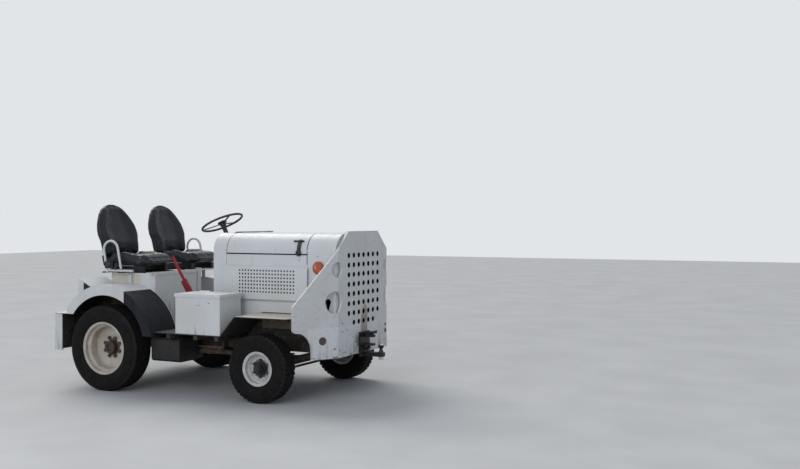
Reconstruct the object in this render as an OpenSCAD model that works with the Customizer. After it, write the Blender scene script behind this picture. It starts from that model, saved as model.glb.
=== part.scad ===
// Airport pushback tractor with a perforated push plate, an engine hood,
// two bucket seats and a bent running board on each side.
// X points forward, Y to the driver's left, Z up. The origin is on the
// ground, midway between the axles. Modules draw the left half (+Y) and
// the right half is its mirror image.

/* [Chassis] */
// Distance between the front and rear axle lines
wheelbase = 1600; // [1400:10:1800]
// Length by which the front hitch stands out from the push plate
front_hitch_len = 198; // [180:2:220]
// Length by which the rear hitch stands out from the bumper
rear_hitch_len = 220; // [200:2:240]
// Outer face of the frame rails
rail_out = 400; // [380:5:410]
// Thickness of the rail web
rail_web = 12; // [8:1:16]
// Width of the rail flanges
rail_flange = 80; // [70:2:90]
// Underside of the rails ahead of the seats
rail_low_z = 400; // [396:2:410]
// Underside of the rails over the rear axle
rail_rear_z = 560; // [550:2:575]

/* [Rear wheels] */
// Outside radius of the rear tyre
rear_tyre_r = 385; // [375:1:392]
// Width of the rear tyre
rear_tyre_w = 228; // [215:1:235]
// Outer face of the rear tyres, from the centre plane
rear_tyre_out = 890; // [880:1:895]
// Radius of the rear rim's flange
rear_lip_r = 238; // [234:1:242]
// Depth of the rear wheel disc behind the rim's flange
rear_disc_depth = 127; // [110:1:135]
// Circle of the rear wheel nuts
rear_nut_pcd = 175; // [160:0.1:190]

/* [Front wheels] */
// Outside radius of the front tyre
front_tyre_r = 291; // [285:1:296]
// Width of the front tyre
front_tyre_w = 172; // [160:1:176]
// Outer face of the front tyres, from the centre plane
front_tyre_out = 804; // [800:1:812]
// Radius of the front rim's flange
front_lip_r = 147; // [144:1:151]
// Depth of the front wheel disc behind the rim's flange
front_disc_depth = 58; // [50:1:64]
// Circle of the front wheel nuts
front_nut_pcd = 146; // [136:0.1:150]

/* [Steering] */
// Distance of the king pins from the centre plane
kingpin_y = 600; // [596:1:602]
// Radius of the king pins
kingpin_r = 16; // [14:0.5:18]
// Length of the steering arms
steer_arm = 150; // [130:1:165]
// Radius of the tie rod
tie_rod_r = 11; // [9:0.5:13]
// Outside diameter of the steering wheel
steering_wheel_d = 432; // [400:2:450]
// Height of the steering wheel's centre
steering_wheel_z = 1514; // [1480:2:1540]
// Tilt of the steering wheel from level, in degrees
steering_tilt = 25; // [20:1:30]

/* [Front plate] */
// Front face of the push plate
plate_x = 1392; // [1385:1:1400]
// Thickness of the push plate
plate_t = 25; // [20:1:30]
// Half of the plate's flat middle
plate_half = 450; // [445:1:460]
// Angle by which each wing is bent back, in degrees
wing_bend = 31.8; // [28:0.2:34]
// Developed half width of the plate, measured along the bent face
wing_reach = 877; // [860:1:890]
// Height of the plate's top edge
plate_top_z = 1445; // [1435:1:1460]
// Height of the plate's lower edge
plate_low_z = 377; // [370:1:390]
// Diameter of the holes of the grille
grille_hole_d = 45; // [38:1:50]
// Sideways pitch of the grille holes
grille_pitch_y = 89; // [84:1:92]
// Upward pitch of the grille holes
grille_pitch_z = 83; // [76:1:86]
// Radius of the upper hole in each wing
wing_hole_top_r = 66; // [60:1:72]
// Radius of the lower hole in each wing
wing_hole_low_r = 94; // [88:1:98]

/* [Hood] */
// Half width of the hood
hood_half = 440; // [436:1:444]
// Height of the hood's top
hood_top_z = 1425; // [1415:1:1430]
// Radius of the hood's upper corners
hood_corner_r = 165; // [150:1:175]
// Thickness of the sheet metal
sheet = 5; // [4:0.5:6]
// Rear face of the dash
dash_x = 100; // [90:1:120]
// Rear edge of the hood lid
lid_rear_x = 243; // [235:1:260]
// Front edge of the hood lid
lid_front_x = 1075; // [1060:1:1085]
// Lower edge of the hood lid
lid_edge_z = 1250; // [1242:1:1256]
// Gap round the hood lid
lid_gap = 8; // [6:0.5:10]
// Height of the open slot under the hood lid's side edges
lid_slot = 11; // [8:0.5:14]
// How far the side pans stand out
pan_depth = 30; // [24:1:34]
// Size of the square holes in the side pans
mesh_hole = 14; // [10:1:18]
// Columns of square holes
mesh_columns = 19; // [10:1:20]
// Rows of square holes
mesh_rows = 7; // [4:1:7]

/* [Floor and running boards] */
// Top of the floor and of the running boards' low part
floor_z = 557; // [550:1:562]
// Top of the running boards' shelf behind the front plate
shelf_z = 729; // [722:1:735]
// Thickness of the floor and the running boards
board_t = 8; // [6:0.5:10]
// Outer edge of the running boards
board_half = 850; // [840:1:860]
// Rear end of the running boards
board_rear_x = -305; // [-310:1:-290]
// Foot of the running boards' slope
slope_foot_x = 463; // [455:1:480]
// Head of the running boards' slope
slope_head_x = 611; // [600:1:630]

/* [Toolbox] */
// Length of the toolbox
toolbox_len = 470; // [440:2:480]
// Depth of the toolbox from front to back as a person stands beside it
toolbox_depth = 305; // [285:1:310]
// Height of the toolbox with its lid
toolbox_h = 348; // [320:1:360]
// Wall of the toolbox
toolbox_wall = 4; // [3:0.5:5]

/* [Rear body] */
// Outside radius of the rear fenders
fender_r = 546; // [535:1:555]
// Height of the fender's flat lip, along the radius
fender_lip = 91; // [80:1:100]
// Outer face of the fenders
fender_out = 900; // [898:1:910]
// Inner face of the fenders
fender_in = 540; // [530:1:545]
// Rear face of the bumper
bumper_x = -1370; // [-1380:1:-1365]
// Depth of the bumper's end flanges
bumper_flange = 85; // [75:1:90]
// Half width of the bumper
bumper_half = 880; // [870:1:890]
// Lower edge of the bumper
bumper_low_z = 345; // [335:1:360]
// Upper edge of the bumper
bumper_top_z = 683; // [675:1:690]

/* [Seats] */
// Top of the white seat box
seat_box_z = 1050; // [1040:1:1056]
// Front face of the seat box
seat_box_x = -490; // [-500:1:-480]
// Distance of the seats' middle from the centre plane
seat_y = 360; // [355:1:365]
// Width of a seat's cushion
seat_w = 444; // [420:1:450]
// Width of a seat's back at its widest
back_w = 500; // [480:1:505]
// Height of the seats' backs
seat_top_z = 1692; // [1650:1:1710]
// Mean lean of the seats' backs, in degrees
seat_lean = 19; // [15:1:22]
// Tube radius of the armrest hoops
hoop_r = 11; // [9:0.5:12]

/* [Hidden] */
$fn = 64;

// Clearances: a seat that only touches, a shaft that turns, a moving gap
seat_gap = 0.3;
turn_gap = 0.05;
move_gap = 5;

axle_x = wheelbase / 2;
rear_x = -axle_x;

// Frame rails
floor_low_z = floor_z - board_t;
board_in = 430;
shelf_low_z = shelf_z - board_t;
rail_in = rail_out - rail_web;
flange_in = rail_out - rail_flange;
flange_t = 10;
outrigger_x = [-285, -90, 200, 420];
outrigger_low_z = floor_low_z - 40;
exhaust_y = 438;
exhaust_z = 360;
exhaust_r = 22;
tank_low_z = 288;
deck_z = 708;
rail_rear_top = deck_z - board_t;
bumper_t = 12;
plate_back_x = plate_x - plate_t;
cowl_front_x = plate_back_x - 7;
rail_rear_x = bumper_x + bumper_t;
rail_kink_x = [seat_box_x - 150, seat_box_x - 30];
sill_out = rail_out + 60;
sill_low_z = shelf_z - 129;
sill_t = 8;
sill_front_x = cowl_front_x - 20;

// Springs: half length, leaf thickness, leaves, width, middle of the width
leaf_n = 5;
leaf_w = 60;
spring_eye_r = 18;
spring_pin_r = 10;
ear_t = 10;
ear_side = leaf_w / 2 + 2 + ear_t;
front_spring_y = rail_out - ear_side;
front_spring_half = 380;
front_leaf_t = 7;
front_eye_z = 375;
rear_spring_y = rail_out + 60;
rear_spring_half = 400;
rear_leaf_t = 8;
rear_eye_z = 505;

// Front axle
beam_h = 60;
beam_w = 60;
beam_top_z = front_tyre_r + beam_h / 2;
front_pad_z = beam_top_z + 4;
boss_r = 32;
boss_half_h = 50;
ear_h = 24;

// Rear axle
axle_tube_r = 50;
rear_pad_z = rear_tyre_r + axle_tube_r + 6;
axle_tube_end = 640;
spindle_r = 35;

// Wheels
rear_rim_face = rear_tyre_out - 16;
front_rim_face = front_tyre_out - 16;
rear_wheel_y = rear_tyre_out - rear_tyre_w / 2;
front_wheel_y = front_tyre_out - front_tyre_w / 2;
front_spindle_r = 25;

// Front plate: height of the grille's top row, and the cut-out over the wheel
grille_top_z = 1237;
cut_mid = [860, 455];
cut_r = 159;

// Hitches: both keep their proportions when their length changes
ball_r = front_hitch_len / 7.92;
ball_x = plate_x + front_hitch_len - ball_r;
ball_z = 437;
bar_low_z = 346;
bar_t = 35;
rear_jaw_half = rear_hitch_len * 3 / 11;

// Wing holes: middles along the bent face and up
wing_hole_top = [449, 1122];
wing_hole_low = [481, 847];

// Engine and radiator
engine_rear_x = 330;
engine_front_x = 1000;
engine_half = 170;
engine_top_z = hood_top_z - 415;
gearbox_z = rail_low_z + 40;
radiator_x = plate_back_x - 142;
radiator_low_z = shelf_z - 109;
radiator_top_z = hood_top_z - 40;
radiator_half = rail_in - 78;

// Hood
hinge_x = lid_rear_x;
hinge_r = 7;
hinge_pin_r = 3;
hinge_z = hood_top_z + hinge_r;
cowl_rear_x = lid_front_x + lid_gap;
side_low_z = shelf_z + 7;
port_top = [1287, 845, 27];
port_foot = [1287, 785, 8];
latch_x = 997;
pan_top_z = 1145;
pan_low_z = 829;
pan_slant = 20;
pan_rear_x = lid_rear_x - 7;
pan_front_x = lid_front_x + 20;
mesh_pitch_x = 31;
mesh_pitch_z = 31;
mesh_mid_x = 681;
mesh_mid_z = 1007;

// Toolbox
toolbox_x = slope_foot_x - 1 - toolbox_len;
toolbox_in = 540;
toolbox_out = toolbox_in + toolbox_depth;
toolbox_top_z = floor_z + toolbox_h;
lid_lip = 28;
lid_t = 3;

// Fenders
fender_x = rear_x + 32;
fender_z = 412;
fender_sheet = 5;
fender_back = 437;
fender_foot_z = bumper_top_z + 6;
lip_low_z = 520;
guard_x = -1085;
guard_top_z = 1010;

// Seats
seat_box_left = 70;
seat_box_rear_x = seat_box_x - 510;
box_sheet = 6;
frame_bar_x = [seat_box_x - 530, seat_box_x - 345, seat_box_x - 10];
cushion_low_z = seat_box_z + 62;
cushion_top_z = cushion_low_z + 97;
cushion_front_x = seat_box_x - 50;
cushion_rear_x = cushion_front_x - 540;
back_front_x = cushion_rear_x + 93;
hoop_y = seat_y + 256;
hoop_top_z = seat_box_z + 306;
hoop_foot_x = cushion_rear_x + 179;
hoop_lean = 11.5;

// Steering
wheel_x = -375;
wheel_y = 340;
column_r = 22;
column_shaft_r = 10;
hub_bore_end = -8;

// General helpers
module mirror_y() mirror([0, 1, 0]) children();

module both_sides() {
    children();
    mirror_y() children();
}

// A plate whose outline is drawn in the X and Z plane, from y0 to y1
module side_plate(y0, y1) {
    translate([0, y1, 0]) rotate([90, 0, 0]) linear_extrude(y1 - y0) children();
}

// A bar whose section is drawn in the Y and Z plane, from x0 to x1
module long_bar(x0, x1) {
    translate([x0, 0, 0]) rotate([90, 0, 90]) linear_extrude(x1 - x0) children();
}

module box(x0, x1, y0, y1, z0, z1) {
    translate([x0, y0, z0]) cube([x1 - x0, y1 - y0, z1 - z0]);
}

module rod_y(x, y0, y1, z, r) {
    translate([x, y0, z]) rotate([-90, 0, 0]) cylinder(h = y1 - y0, r = r);
}

module rod_x(x0, x1, y, z, r) {
    translate([x0, y, z]) rotate([0, 90, 0]) cylinder(h = x1 - x0, r = r);
}

module rod_z(x, y, z0, z1, r) {
    translate([x, y, z0]) cylinder(h = z1 - z0, r = r);
}

// The hood's section, an arch of half width w and corner radius r
module arch(w, top, r, low) {
    translate([-w, low]) square([2 * w, top - r - low]);
    translate([r - w, low]) square([2 * (w - r), top - low]);
    for (s = [-1, 1]) translate([s * (w - r), top - r]) circle(r);
}

module arch_shell(low) {
    difference() {
        arch(hood_half, hood_top_z, hood_corner_r, low);
        arch(hood_half - sheet, hood_top_z - sheet, hood_corner_r - sheet, low - 1);
    }
}

// Frame
module rail_side() {
    side_plate(rail_in, rail_out) polygon([
        [rail_rear_x, rail_rear_z], [rail_kink_x[0], rail_rear_z], [rail_kink_x[1], rail_low_z],
        [plate_back_x, rail_low_z], [plate_back_x, shelf_low_z],
        [slope_head_x, shelf_low_z], [slope_foot_x, floor_low_z],
        [seat_box_x, floor_low_z], [seat_box_x, rail_rear_top],
        [rail_rear_x, rail_rear_top]
    ]);
    box(rail_kink_x[1], plate_back_x, flange_in, rail_out, rail_low_z, rail_low_z + flange_t);
    box(seat_box_x, slope_foot_x, flange_in, rail_out, floor_low_z - flange_t, floor_low_z);
    box(slope_head_x, plate_back_x, flange_in, rail_out, shelf_low_z - flange_t, shelf_low_z);
    box(rail_rear_x, rail_kink_x[0], flange_in, rail_out, rail_rear_z, rail_rear_z + flange_t);
    box(rail_rear_x, seat_box_x, flange_in, rail_out, rail_rear_top - flange_t, rail_rear_top);
}

// Sill beside the engine: a channel that closes against the rail, with a row of holes
module sill() {
    x0 = slope_head_x + 20;
    difference() {
        box(x0, sill_front_x, sill_out - sill_t, sill_out, sill_low_z, shelf_low_z);
        for (x = [700:100:1200])
            rod_y(x, sill_out - sill_t - 1, sill_out + 1, 668, 9);
    }
    for (z = [sill_low_z, shelf_low_z - sill_t])
        box(x0, sill_front_x, rail_out, sill_out, z, z + sill_t);
}

// One spring eye's bracket: ears on both sides of the eye and its pin
module spring_bracket(x, y_mid, z, top) {
    for (s = [-1, 1]) {
        y = y_mid + s * (ear_side - ear_t / 2);
        box(x - 20, x + 20, y - ear_t / 2, y + ear_t / 2, z, top);
        rod_y(x, y - ear_t / 2, y + ear_t / 2, z, 20);
    }
    rod_y(x, y_mid - ear_side, y_mid + ear_side, z, spring_pin_r);
}

module frame_rails() {
    color("dimgray") both_sides() rail_side();
}

module cross_members() {
    color("dimgray") {
        box(rail_rear_x, rail_rear_x + 60, -rail_in, rail_in,
            rail_rear_z + flange_t, rail_rear_top - flange_t);
        box(-470, -410, -rail_in, rail_in, 470, floor_low_z - flange_t);
        box(radiator_x - 5, radiator_x + 75, -rail_in, rail_in, floor_low_z, radiator_low_z);
        // Outriggers under the floor's and the running boards' low part
        both_sides() for (x = outrigger_x)
            box(x - 20, x + 20, rail_out, board_half - 10, outrigger_low_z, floor_low_z);
    }
}

module side_sills() {
    color("dimgray") both_sides() sill();
}

module spring_brackets() {
    color("dimgray") both_sides() {
        for (s = [-1, 1])
            spring_bracket(axle_x + s * front_spring_half, front_spring_y, front_eye_z, rail_low_z);
        for (end = [[rear_spring_half, floor_low_z], [-rear_spring_half, 600]]) {
            x = rear_x + end[0];
            spring_bracket(x, rear_spring_y, rear_eye_z, end[1]);
            box(x - 20, x + 20, rail_out, rear_spring_y + ear_side, end[1] - 20, end[1]);
        }
    }
}

// Front plate
module plate_outline() {
    points = [
        [0, plate_top_z], [270, plate_top_z], [474, 1260], [wing_reach, 823],
        [wing_reach, 633], [wing_reach - 8, 616], [wing_reach - 27, 608]
    ];
    // Round cut-out over the front wheel, down to the plate's lower corner
    curve = [for (a = [112:17:180]) [cut_mid[0] + cut_r * cos(a), cut_mid[1] + cut_r * sin(a)]];
    right = concat(points, curve, [[cut_mid[0] - cut_r, plate_low_z]]);
    polygon(concat(right, [for (i = [len(right) - 1:-1:1]) [-right[i][0], right[i][1]]]));
}

module plate_holes() {
    for (row = [0:6], col = [-3:3])
        translate([col * grille_pitch_y, grille_top_z - row * grille_pitch_z])
            circle(d = grille_hole_d);
    for (col = [-2:2])
        translate([col * grille_pitch_y, grille_top_z - 7 * grille_pitch_z])
            circle(d = grille_hole_d);
    for (s = [-1, 1]) {
        translate([s * wing_hole_top[0], wing_hole_top[1]]) circle(wing_hole_top_r);
        translate([s * wing_hole_low[0], wing_hole_low[1]]) circle(wing_hole_low_r);
    }
}

// The plate before bending, cut from t0 to t1, its front face at x = 0
module flat_plate(t0, t1) {
    intersection() {
        translate([-plate_t, 0, 0]) rotate([90, 0, 90]) linear_extrude(plate_t)
            difference() {
                plate_outline();
                plate_holes();
            }
        box(-plate_t - 1, 1, t0, t1, 0, plate_top_z + 10);
    }
}

module front_plate() {
    color("white") {
        translate([plate_x, 0, 0]) flat_plate(-plate_half, plate_half);
        both_sides() translate([plate_x, plate_half, 0]) rotate([0, 0, wing_bend])
            translate([0, -plate_half, 0]) flat_plate(plate_half, wing_reach + 1);
    }
}

// Everything behind the left wing's back face, with a small gap
module behind_wing(gap) {
    translate([plate_x, plate_half, 0]) rotate([0, 0, wing_bend])
        box(-plate_t - gap, 600, -100, 900, 0, plate_top_z + 10);
}

// Hood and its neighbours
module front_cowl() {
    color("white") difference() {
        union() {
            long_bar(cowl_rear_x, cowl_front_x) arch_shell(shelf_z);
            // Flange behind the push plate
            long_bar(cowl_front_x - sheet, cowl_front_x) difference() {
                arch(hood_half - 1, hood_top_z - 1, hood_corner_r - 1, shelf_z);
                arch(hood_half - 75, hood_top_z - 75, hood_corner_r - 75, shelf_z - 1);
            }
        }
        // Drop-shaped port low in each side: a round top that narrows to a round foot
        for (s = [-1, 1]) {
            y = s * hood_half;
            rod_y(port_top[0], y - 10, y + 10, port_top[1], port_top[2]);
            rod_y(port_foot[0], y - 10, y + 10, port_foot[1], port_foot[2]);
            side_plate(y - 10, y + 10) polygon([
                [port_top[0] - port_top[2], port_top[1]], [port_top[0] + port_top[2], port_top[1]],
                [port_foot[0] + port_foot[2], port_foot[1]], [port_foot[0] - port_foot[2], port_foot[1]]
            ]);
        }
    }
}

module side_section() {
    o = hood_half;
    p = hood_half + pan_depth;
    polygon([
        [o, lid_edge_z - lid_slot], [o, pan_top_z], [p, pan_top_z - pan_slant],
        [p, pan_low_z + pan_slant], [o, pan_low_z], [o, side_low_z],
        [o - sheet, side_low_z], [o - sheet, pan_low_z + 3],
        [p - sheet, pan_low_z + pan_slant + 3], [p - sheet, pan_top_z - pan_slant - 3],
        [o - sheet, pan_top_z - 3], [o - sheet, lid_edge_z - lid_slot]
    ]);
}

module pan_end_section() {
    o = hood_half;
    p = hood_half + pan_depth;
    polygon([[o, pan_top_z], [p, pan_top_z - pan_slant], [p, pan_low_z + pan_slant], [o, pan_low_z]]);
}

module side_mesh() {
    for (i = [0:mesh_columns - 1], k = [0:mesh_rows - 1])
        translate([mesh_mid_x + (i - (mesh_columns - 1) / 2) * mesh_pitch_x - mesh_hole / 2,
                mesh_mid_z + (k - (mesh_rows - 1) / 2) * mesh_pitch_z - mesh_hole / 2])
            square(mesh_hole);
}

module hood_side() {
    difference() {
        union() {
            long_bar(lid_rear_x, lid_front_x) side_section();
            long_bar(lid_front_x, pan_front_x) intersection() {
                side_section();
                translate([hood_half, 0]) square([pan_depth, 2000]);
            }
            long_bar(pan_front_x - sheet, pan_front_x) pan_end_section();
            long_bar(pan_rear_x, lid_rear_x) intersection() {
                side_section();
                translate([hood_half, 0]) square([pan_depth, 2000]);
            }
            long_bar(pan_rear_x, pan_rear_x + sheet) pan_end_section();
            // Lower skirt behind the running board's slope
            side_plate(hood_half - sheet, hood_half) polygon([
                [lid_rear_x, side_low_z + 1], [lid_rear_x, floor_z],
                [slope_foot_x - 6, floor_z],
                [slope_head_x - 6, shelf_z], [slope_head_x + 6, side_low_z + 1]
            ]);
        }
        side_plate(hood_half + 1, hood_half + pan_depth + 1) side_mesh();
        // Vent slots in the pan's front end
        for (z = [860:14:1104])
            box(pan_front_x - sheet - 1, pan_front_x + 1, hood_half + 7, hood_half + 23, z, z + 7);
    }
    // Foot of the hood latch
    box(latch_x - 12, latch_x + 12, hood_half, hood_half + 8, 1200, 1226);
}

module hood_sides() {
    color("white") both_sides() hood_side();
}

module dash_cowl() {
    color("white") {
        long_bar(dash_x, lid_rear_x - 3) arch_shell(floor_z);
        long_bar(dash_x, dash_x + sheet)
            arch(hood_half, hood_top_z, hood_corner_r, floor_z);
        // Hinge barrels fixed to the cowl, with the pin
        for (y = [-260, 0, 260]) {
            rod_y(hinge_x, y - 40, y + 40, hinge_z, hinge_r);
            box(hinge_x - 20, hinge_x - 3, y - 40, y + 40, hood_top_z - sheet, hood_top_z + 4);
            box(hinge_x - 5, hinge_x - 3, y - 40, y + 40, hood_top_z - sheet, hinge_z);
        }
        rod_y(hinge_x, -300, 300, hinge_z, hinge_pin_r);
    }
}

module hood_lid() {
    color("white") difference() {
        union() {
            intersection() {
                long_bar(lid_rear_x + 3, lid_front_x) arch_shell(lid_edge_z - 50);
                box(lid_rear_x, lid_front_x, -hood_half - 1, hood_half + 1, lid_edge_z, hood_top_z + 1);
            }
            for (y = [-130, 130]) {
                rod_y(hinge_x, y - 80, y + 80, hinge_z, hinge_r);
                box(hinge_x + 2, hinge_x + 6, y - 80, y + 80, hood_top_z - 1, hinge_z);
            }
        }
        rod_y(hinge_x, -301, 301, hinge_z, hinge_pin_r + turn_gap);
    }
}

// The rubber latch: a strap over the lid's corner and its cross bar
module hood_latch() {
    mid_y = hood_half - hood_corner_r;
    mid_z = hood_top_z - hood_corner_r;
    r = hood_corner_r + seat_gap;
    intersection() {
        translate([latch_x - 17, mid_y, mid_z]) rotate([90, 0, 90])
            linear_extrude(34) difference() {
                circle(r + 10);
                circle(r);
            }
        box(latch_x - 18, latch_x + 18, mid_y, hood_half + 20, mid_z, mid_z + 112);
    }
    box(latch_x - 17, latch_x + 17, hood_half + seat_gap, hood_half + seat_gap + 10,
        1232, mid_z);
    // Bulge of the stretched strap, and the grip across its top
    translate([latch_x, hood_half + seat_gap + 12, 1258]) scale([1, 0.45, 1]) sphere(26);
    rod_x(latch_x - 62, latch_x + 37, mid_y + (r + 8) * cos(35), mid_z + (r + 8) * sin(35), 8);
}

module hood_latches() {
    color("black") both_sides() hood_latch();
}

// Engine bay
module radiator() {
    x = radiator_x;
    depth = 65;
    half = radiator_half;
    fins = 40;
    pitch = 2 * (half - 10) / fins;
    color("gray") {
        difference() {
            box(x, x + depth, -half, half, radiator_low_z + 20, radiator_top_z - 45);
            // Air passes between the upright fins of the core's front and rear faces
            for (i = [0:fins - 1], face = [x - 1, x + depth - 11])
                box(face, face + 12, -half + 10 + (i + 0.3) * pitch,
                    -half + 10 + (i + 0.8) * pitch, radiator_low_z + 70, radiator_top_z - 65);
        }
        for (z = [radiator_low_z, radiator_top_z - 55])
            box(x - 10, x + depth + 10, -half - 10, half + 10, z, z + 55);
        rod_z(x + depth / 2, 120, radiator_top_z - 1, radiator_top_z + 17, 28);
    }
}

module engine_block() {
    top = engine_top_z;
    color("slategray") {
        box(engine_rear_x, engine_front_x, -engine_half, engine_half, 520, top);
        box(engine_rear_x + 20, engine_front_x - 20, 30 - engine_half, engine_half - 30, 430, 520);
        box(engine_rear_x + 10, engine_front_x - 40, 60 - engine_half, engine_half - 60,
            top, top + 80);
        both_sides() box(600, 720, engine_half - 10, rail_in, rail_low_z + flange_t, 560);
        rod_x(engine_front_x, engine_front_x + 60, 0, top - 150, 40);
        rod_x(engine_front_x + 60, engine_front_x + 85, 0, top - 150, 230);
    }
}

module driveline() {
    z = gearbox_z;
    color("dimgray") {
        rod_x(200, engine_rear_x, 0, z, 100);
        rod_x(-60, 200, 0, z, 95);
        rod_x(-200, -60, 0, z - 10, 60);
        rod_x(rear_x + 210, -200, 0, z - 40, 30);
        box(engine_rear_x, engine_rear_x + 15, -100, 100, z - 10, 520);
    }
}

// Exhaust: manifold on the engine's right side, down pipe, pipe under the rail,
// silencer behind the floor's front edge and tail pipe in front of the rear wheel
module exhaust() {
    y_down = 235;
    x_down = 372;
    color("sienna") mirror_y() {
        box(440, 900, engine_half, 215, 850, 905);
        for (x = [480, 600, 720, 840]) box(x - 25, x + 25, engine_half, 200, 800, 900);
        rod_z(x_down, y_down, exhaust_z, 878, exhaust_r);
        box(x_down, 470, 190, y_down + 10, 856, 900);
        rod_y(x_down, y_down, exhaust_y, exhaust_z, exhaust_r);
        translate([x_down, y_down, exhaust_z]) sphere(exhaust_r);
        translate([x_down, exhaust_y, exhaust_z]) sphere(exhaust_r);
        rod_x(-60, x_down, exhaust_y, exhaust_z, exhaust_r);
        rod_x(-345, -60, exhaust_y - 6, exhaust_z - 22, 50);
        rod_x(-380, -345, exhaust_y - 6, exhaust_z - 22, 20);
        translate([-380, exhaust_y - 6, exhaust_z - 22]) sphere(20);
        rod_y(-380, exhaust_y - 6, 600, exhaust_z - 22, 20);
        // Hangers from two outriggers
        for (i = [1, 2])
            box(outrigger_x[i] - 12, outrigger_x[i] + 12, exhaust_y - 2, exhaust_y + 2,
                exhaust_z, outrigger_low_z);
    }
}

// Floors
module floor_plates() {
    color("gray") {
        box(seat_box_x, lid_rear_x - 3, -board_in, board_in, floor_low_z, floor_z);
        box(seat_box_x, board_rear_x, -fender_in, fender_in, floor_low_z, floor_z);
        box(rail_rear_x, seat_box_x, -fender_in, fender_in, rail_rear_top, deck_z);
        // Riser below the left seat
        box(seat_box_x, seat_box_x + box_sheet, seat_box_left, fender_in, floor_z, deck_z);
    }
}

module running_board() {
    difference() {
        side_plate(board_in, board_half) polygon([
            [board_rear_x, floor_z], [slope_foot_x, floor_z], [slope_head_x, shelf_z],
            [cowl_front_x, shelf_z], [cowl_front_x, shelf_low_z],
            [slope_head_x + 4, shelf_low_z],
            [slope_foot_x + 4, floor_low_z], [board_rear_x, floor_low_z]
        ]);
        behind_wing(0);
        // Corner cut off behind the wing's lower end
        box(cowl_front_x - 205, plate_x, board_half - 50, 900, 500, 800);
    }
}

module running_boards() {
    color("lightgray") both_sides() running_board();
}

// Toolbox on the right running board, drawn on the left and mirrored
module toolbox_body() {
    top = toolbox_top_z - lid_t - seat_gap;
    x1 = toolbox_x + toolbox_len;
    difference() {
        box(toolbox_x, x1, toolbox_in, toolbox_out, floor_z, top);
        box(toolbox_x + toolbox_wall, x1 - toolbox_wall, toolbox_in + toolbox_wall,
            toolbox_out - toolbox_wall, floor_z + toolbox_wall, top + 1);
        // Two small holes where a hasp was
        for (hole = [[254, 832], [322, 842]])
            rod_y(hole[0], toolbox_out - toolbox_wall - 1, toolbox_out + 1, hole[1], 4);
    }
    for (x = [toolbox_x + 60, x1 - 60]) {
        box(x - 25, x + 25, toolbox_in - 6, toolbox_in, top - 40, top - 10);
        box(x - 25, x + 25, toolbox_in - 10, toolbox_in - 6, top - 40, toolbox_top_z - 3);
        rod_x(x - 25, x + 75, toolbox_in - 8, toolbox_top_z, 3);
        rod_x(x - 25, x + 25, toolbox_in - 8, toolbox_top_z, 6);
    }
}

module toolbox() {
    color("white") mirror_y() toolbox_body();
}

module toolbox_cover() {
    x1 = toolbox_x + toolbox_len;
    over = move_gap + lid_t;
    difference() {
        union() {
            difference() {
                box(toolbox_x - over, x1 + over, toolbox_in, toolbox_out + over,
                    toolbox_top_z - lid_lip, toolbox_top_z);
                box(toolbox_x - move_gap, x1 + move_gap, toolbox_in - 1, toolbox_out + move_gap,
                    toolbox_top_z - lid_lip - 1, toolbox_top_z - lid_t);
            }
            for (x = [toolbox_x + 60, x1 - 60]) {
                rod_x(x + 26, x + 76, toolbox_in - 8, toolbox_top_z, 6);
                box(x + 26, x + 76, toolbox_in - 6, toolbox_in + 1, toolbox_top_z - lid_t, toolbox_top_z);
            }
        }
        rod_x(toolbox_x, x1 + 20, toolbox_in - 8, toolbox_top_z, 3 + turn_gap);
    }
}

module toolbox_lid() {
    color("white") mirror_y() toolbox_cover();
}

// Rear body
module fender_sector(r0, r1, front_low) {
    difference() {
        circle(r1, $fn = 96);
        circle(r0, $fn = 96);
        translate([0, -1600]) square([800, 1600 + front_low - fender_z]);
        translate([-800, -1600]) square([801, 1600 + fender_foot_z - fender_z]);
        translate([-800, -1]) square([800 - fender_back, 800]);
    }
}

module fender() {
    translate([fender_x, 0, fender_z]) {
        side_plate(fender_in, fender_out)
            fender_sector(fender_r - fender_sheet, fender_r, floor_z);
        side_plate(board_half + 2, fender_out)
            fender_sector(fender_r - fender_sheet, fender_r, lip_low_z);
        side_plate(fender_out - fender_sheet, fender_out)
            fender_sector(fender_r - fender_lip, fender_r, lip_low_z);
        // Inner wall of the wheel house
        side_plate(fender_in, fender_in + fender_sheet) difference() {
            circle(fender_r - 1, $fn = 96);
            translate([-800, -1600]) square([1600, 1600 + floor_z - fender_z]);
        }
    }
    // Upright foot at the rear end, on a flat plate over the bumper
    x = fender_x - fender_back;
    box(x - 1, x + fender_sheet, fender_in, fender_out, fender_foot_z - 1, 738);
    box(bumper_x + 20, -1130, fender_in, fender_out, bumper_top_z, fender_foot_z);
    lamp_guard();
}

// The folded guard that holds a tail lamp on the fender's rear slope
module lamp_guard() {
    difference() {
        union() {
            side_plate(fender_in, 880) polygon([
                [guard_x, 850], [guard_x, guard_top_z], [guard_x + 5, guard_top_z],
                [-925, 935], [-930, 929], [guard_x + 5, guard_top_z - 6], [guard_x + 5, 850]
            ]);
            side_plate(875, 880) polygon([
                [guard_x, 850], [guard_x, guard_top_z], [guard_x + 5, guard_top_z],
                [guard_x + 60, guard_top_z - 27], [guard_x + 60, 880]
            ]);
        }
        rod_y(fender_x, fender_in - 1, 900, fender_z, fender_r - 2);
    }
}

module fenders() {
    color("white") both_sides() fender();
}

module tail_lamps() {
    color("darkred") both_sides() rod_x(guard_x - 14, guard_x, 710, 935, 45);
}

module side_lamps() {
    color("orange") both_sides() translate([1195, hood_half, 1133]) rotate([-90, 0, 0]) {
        cylinder(h = 12, r = 56);
        translate([0, 0, 12]) cylinder(h = 10, r1 = 53, r2 = 50);
        translate([0, 0, 22]) cylinder(h = 8, r1 = 50, r2 = 38);
    }
}

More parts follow.
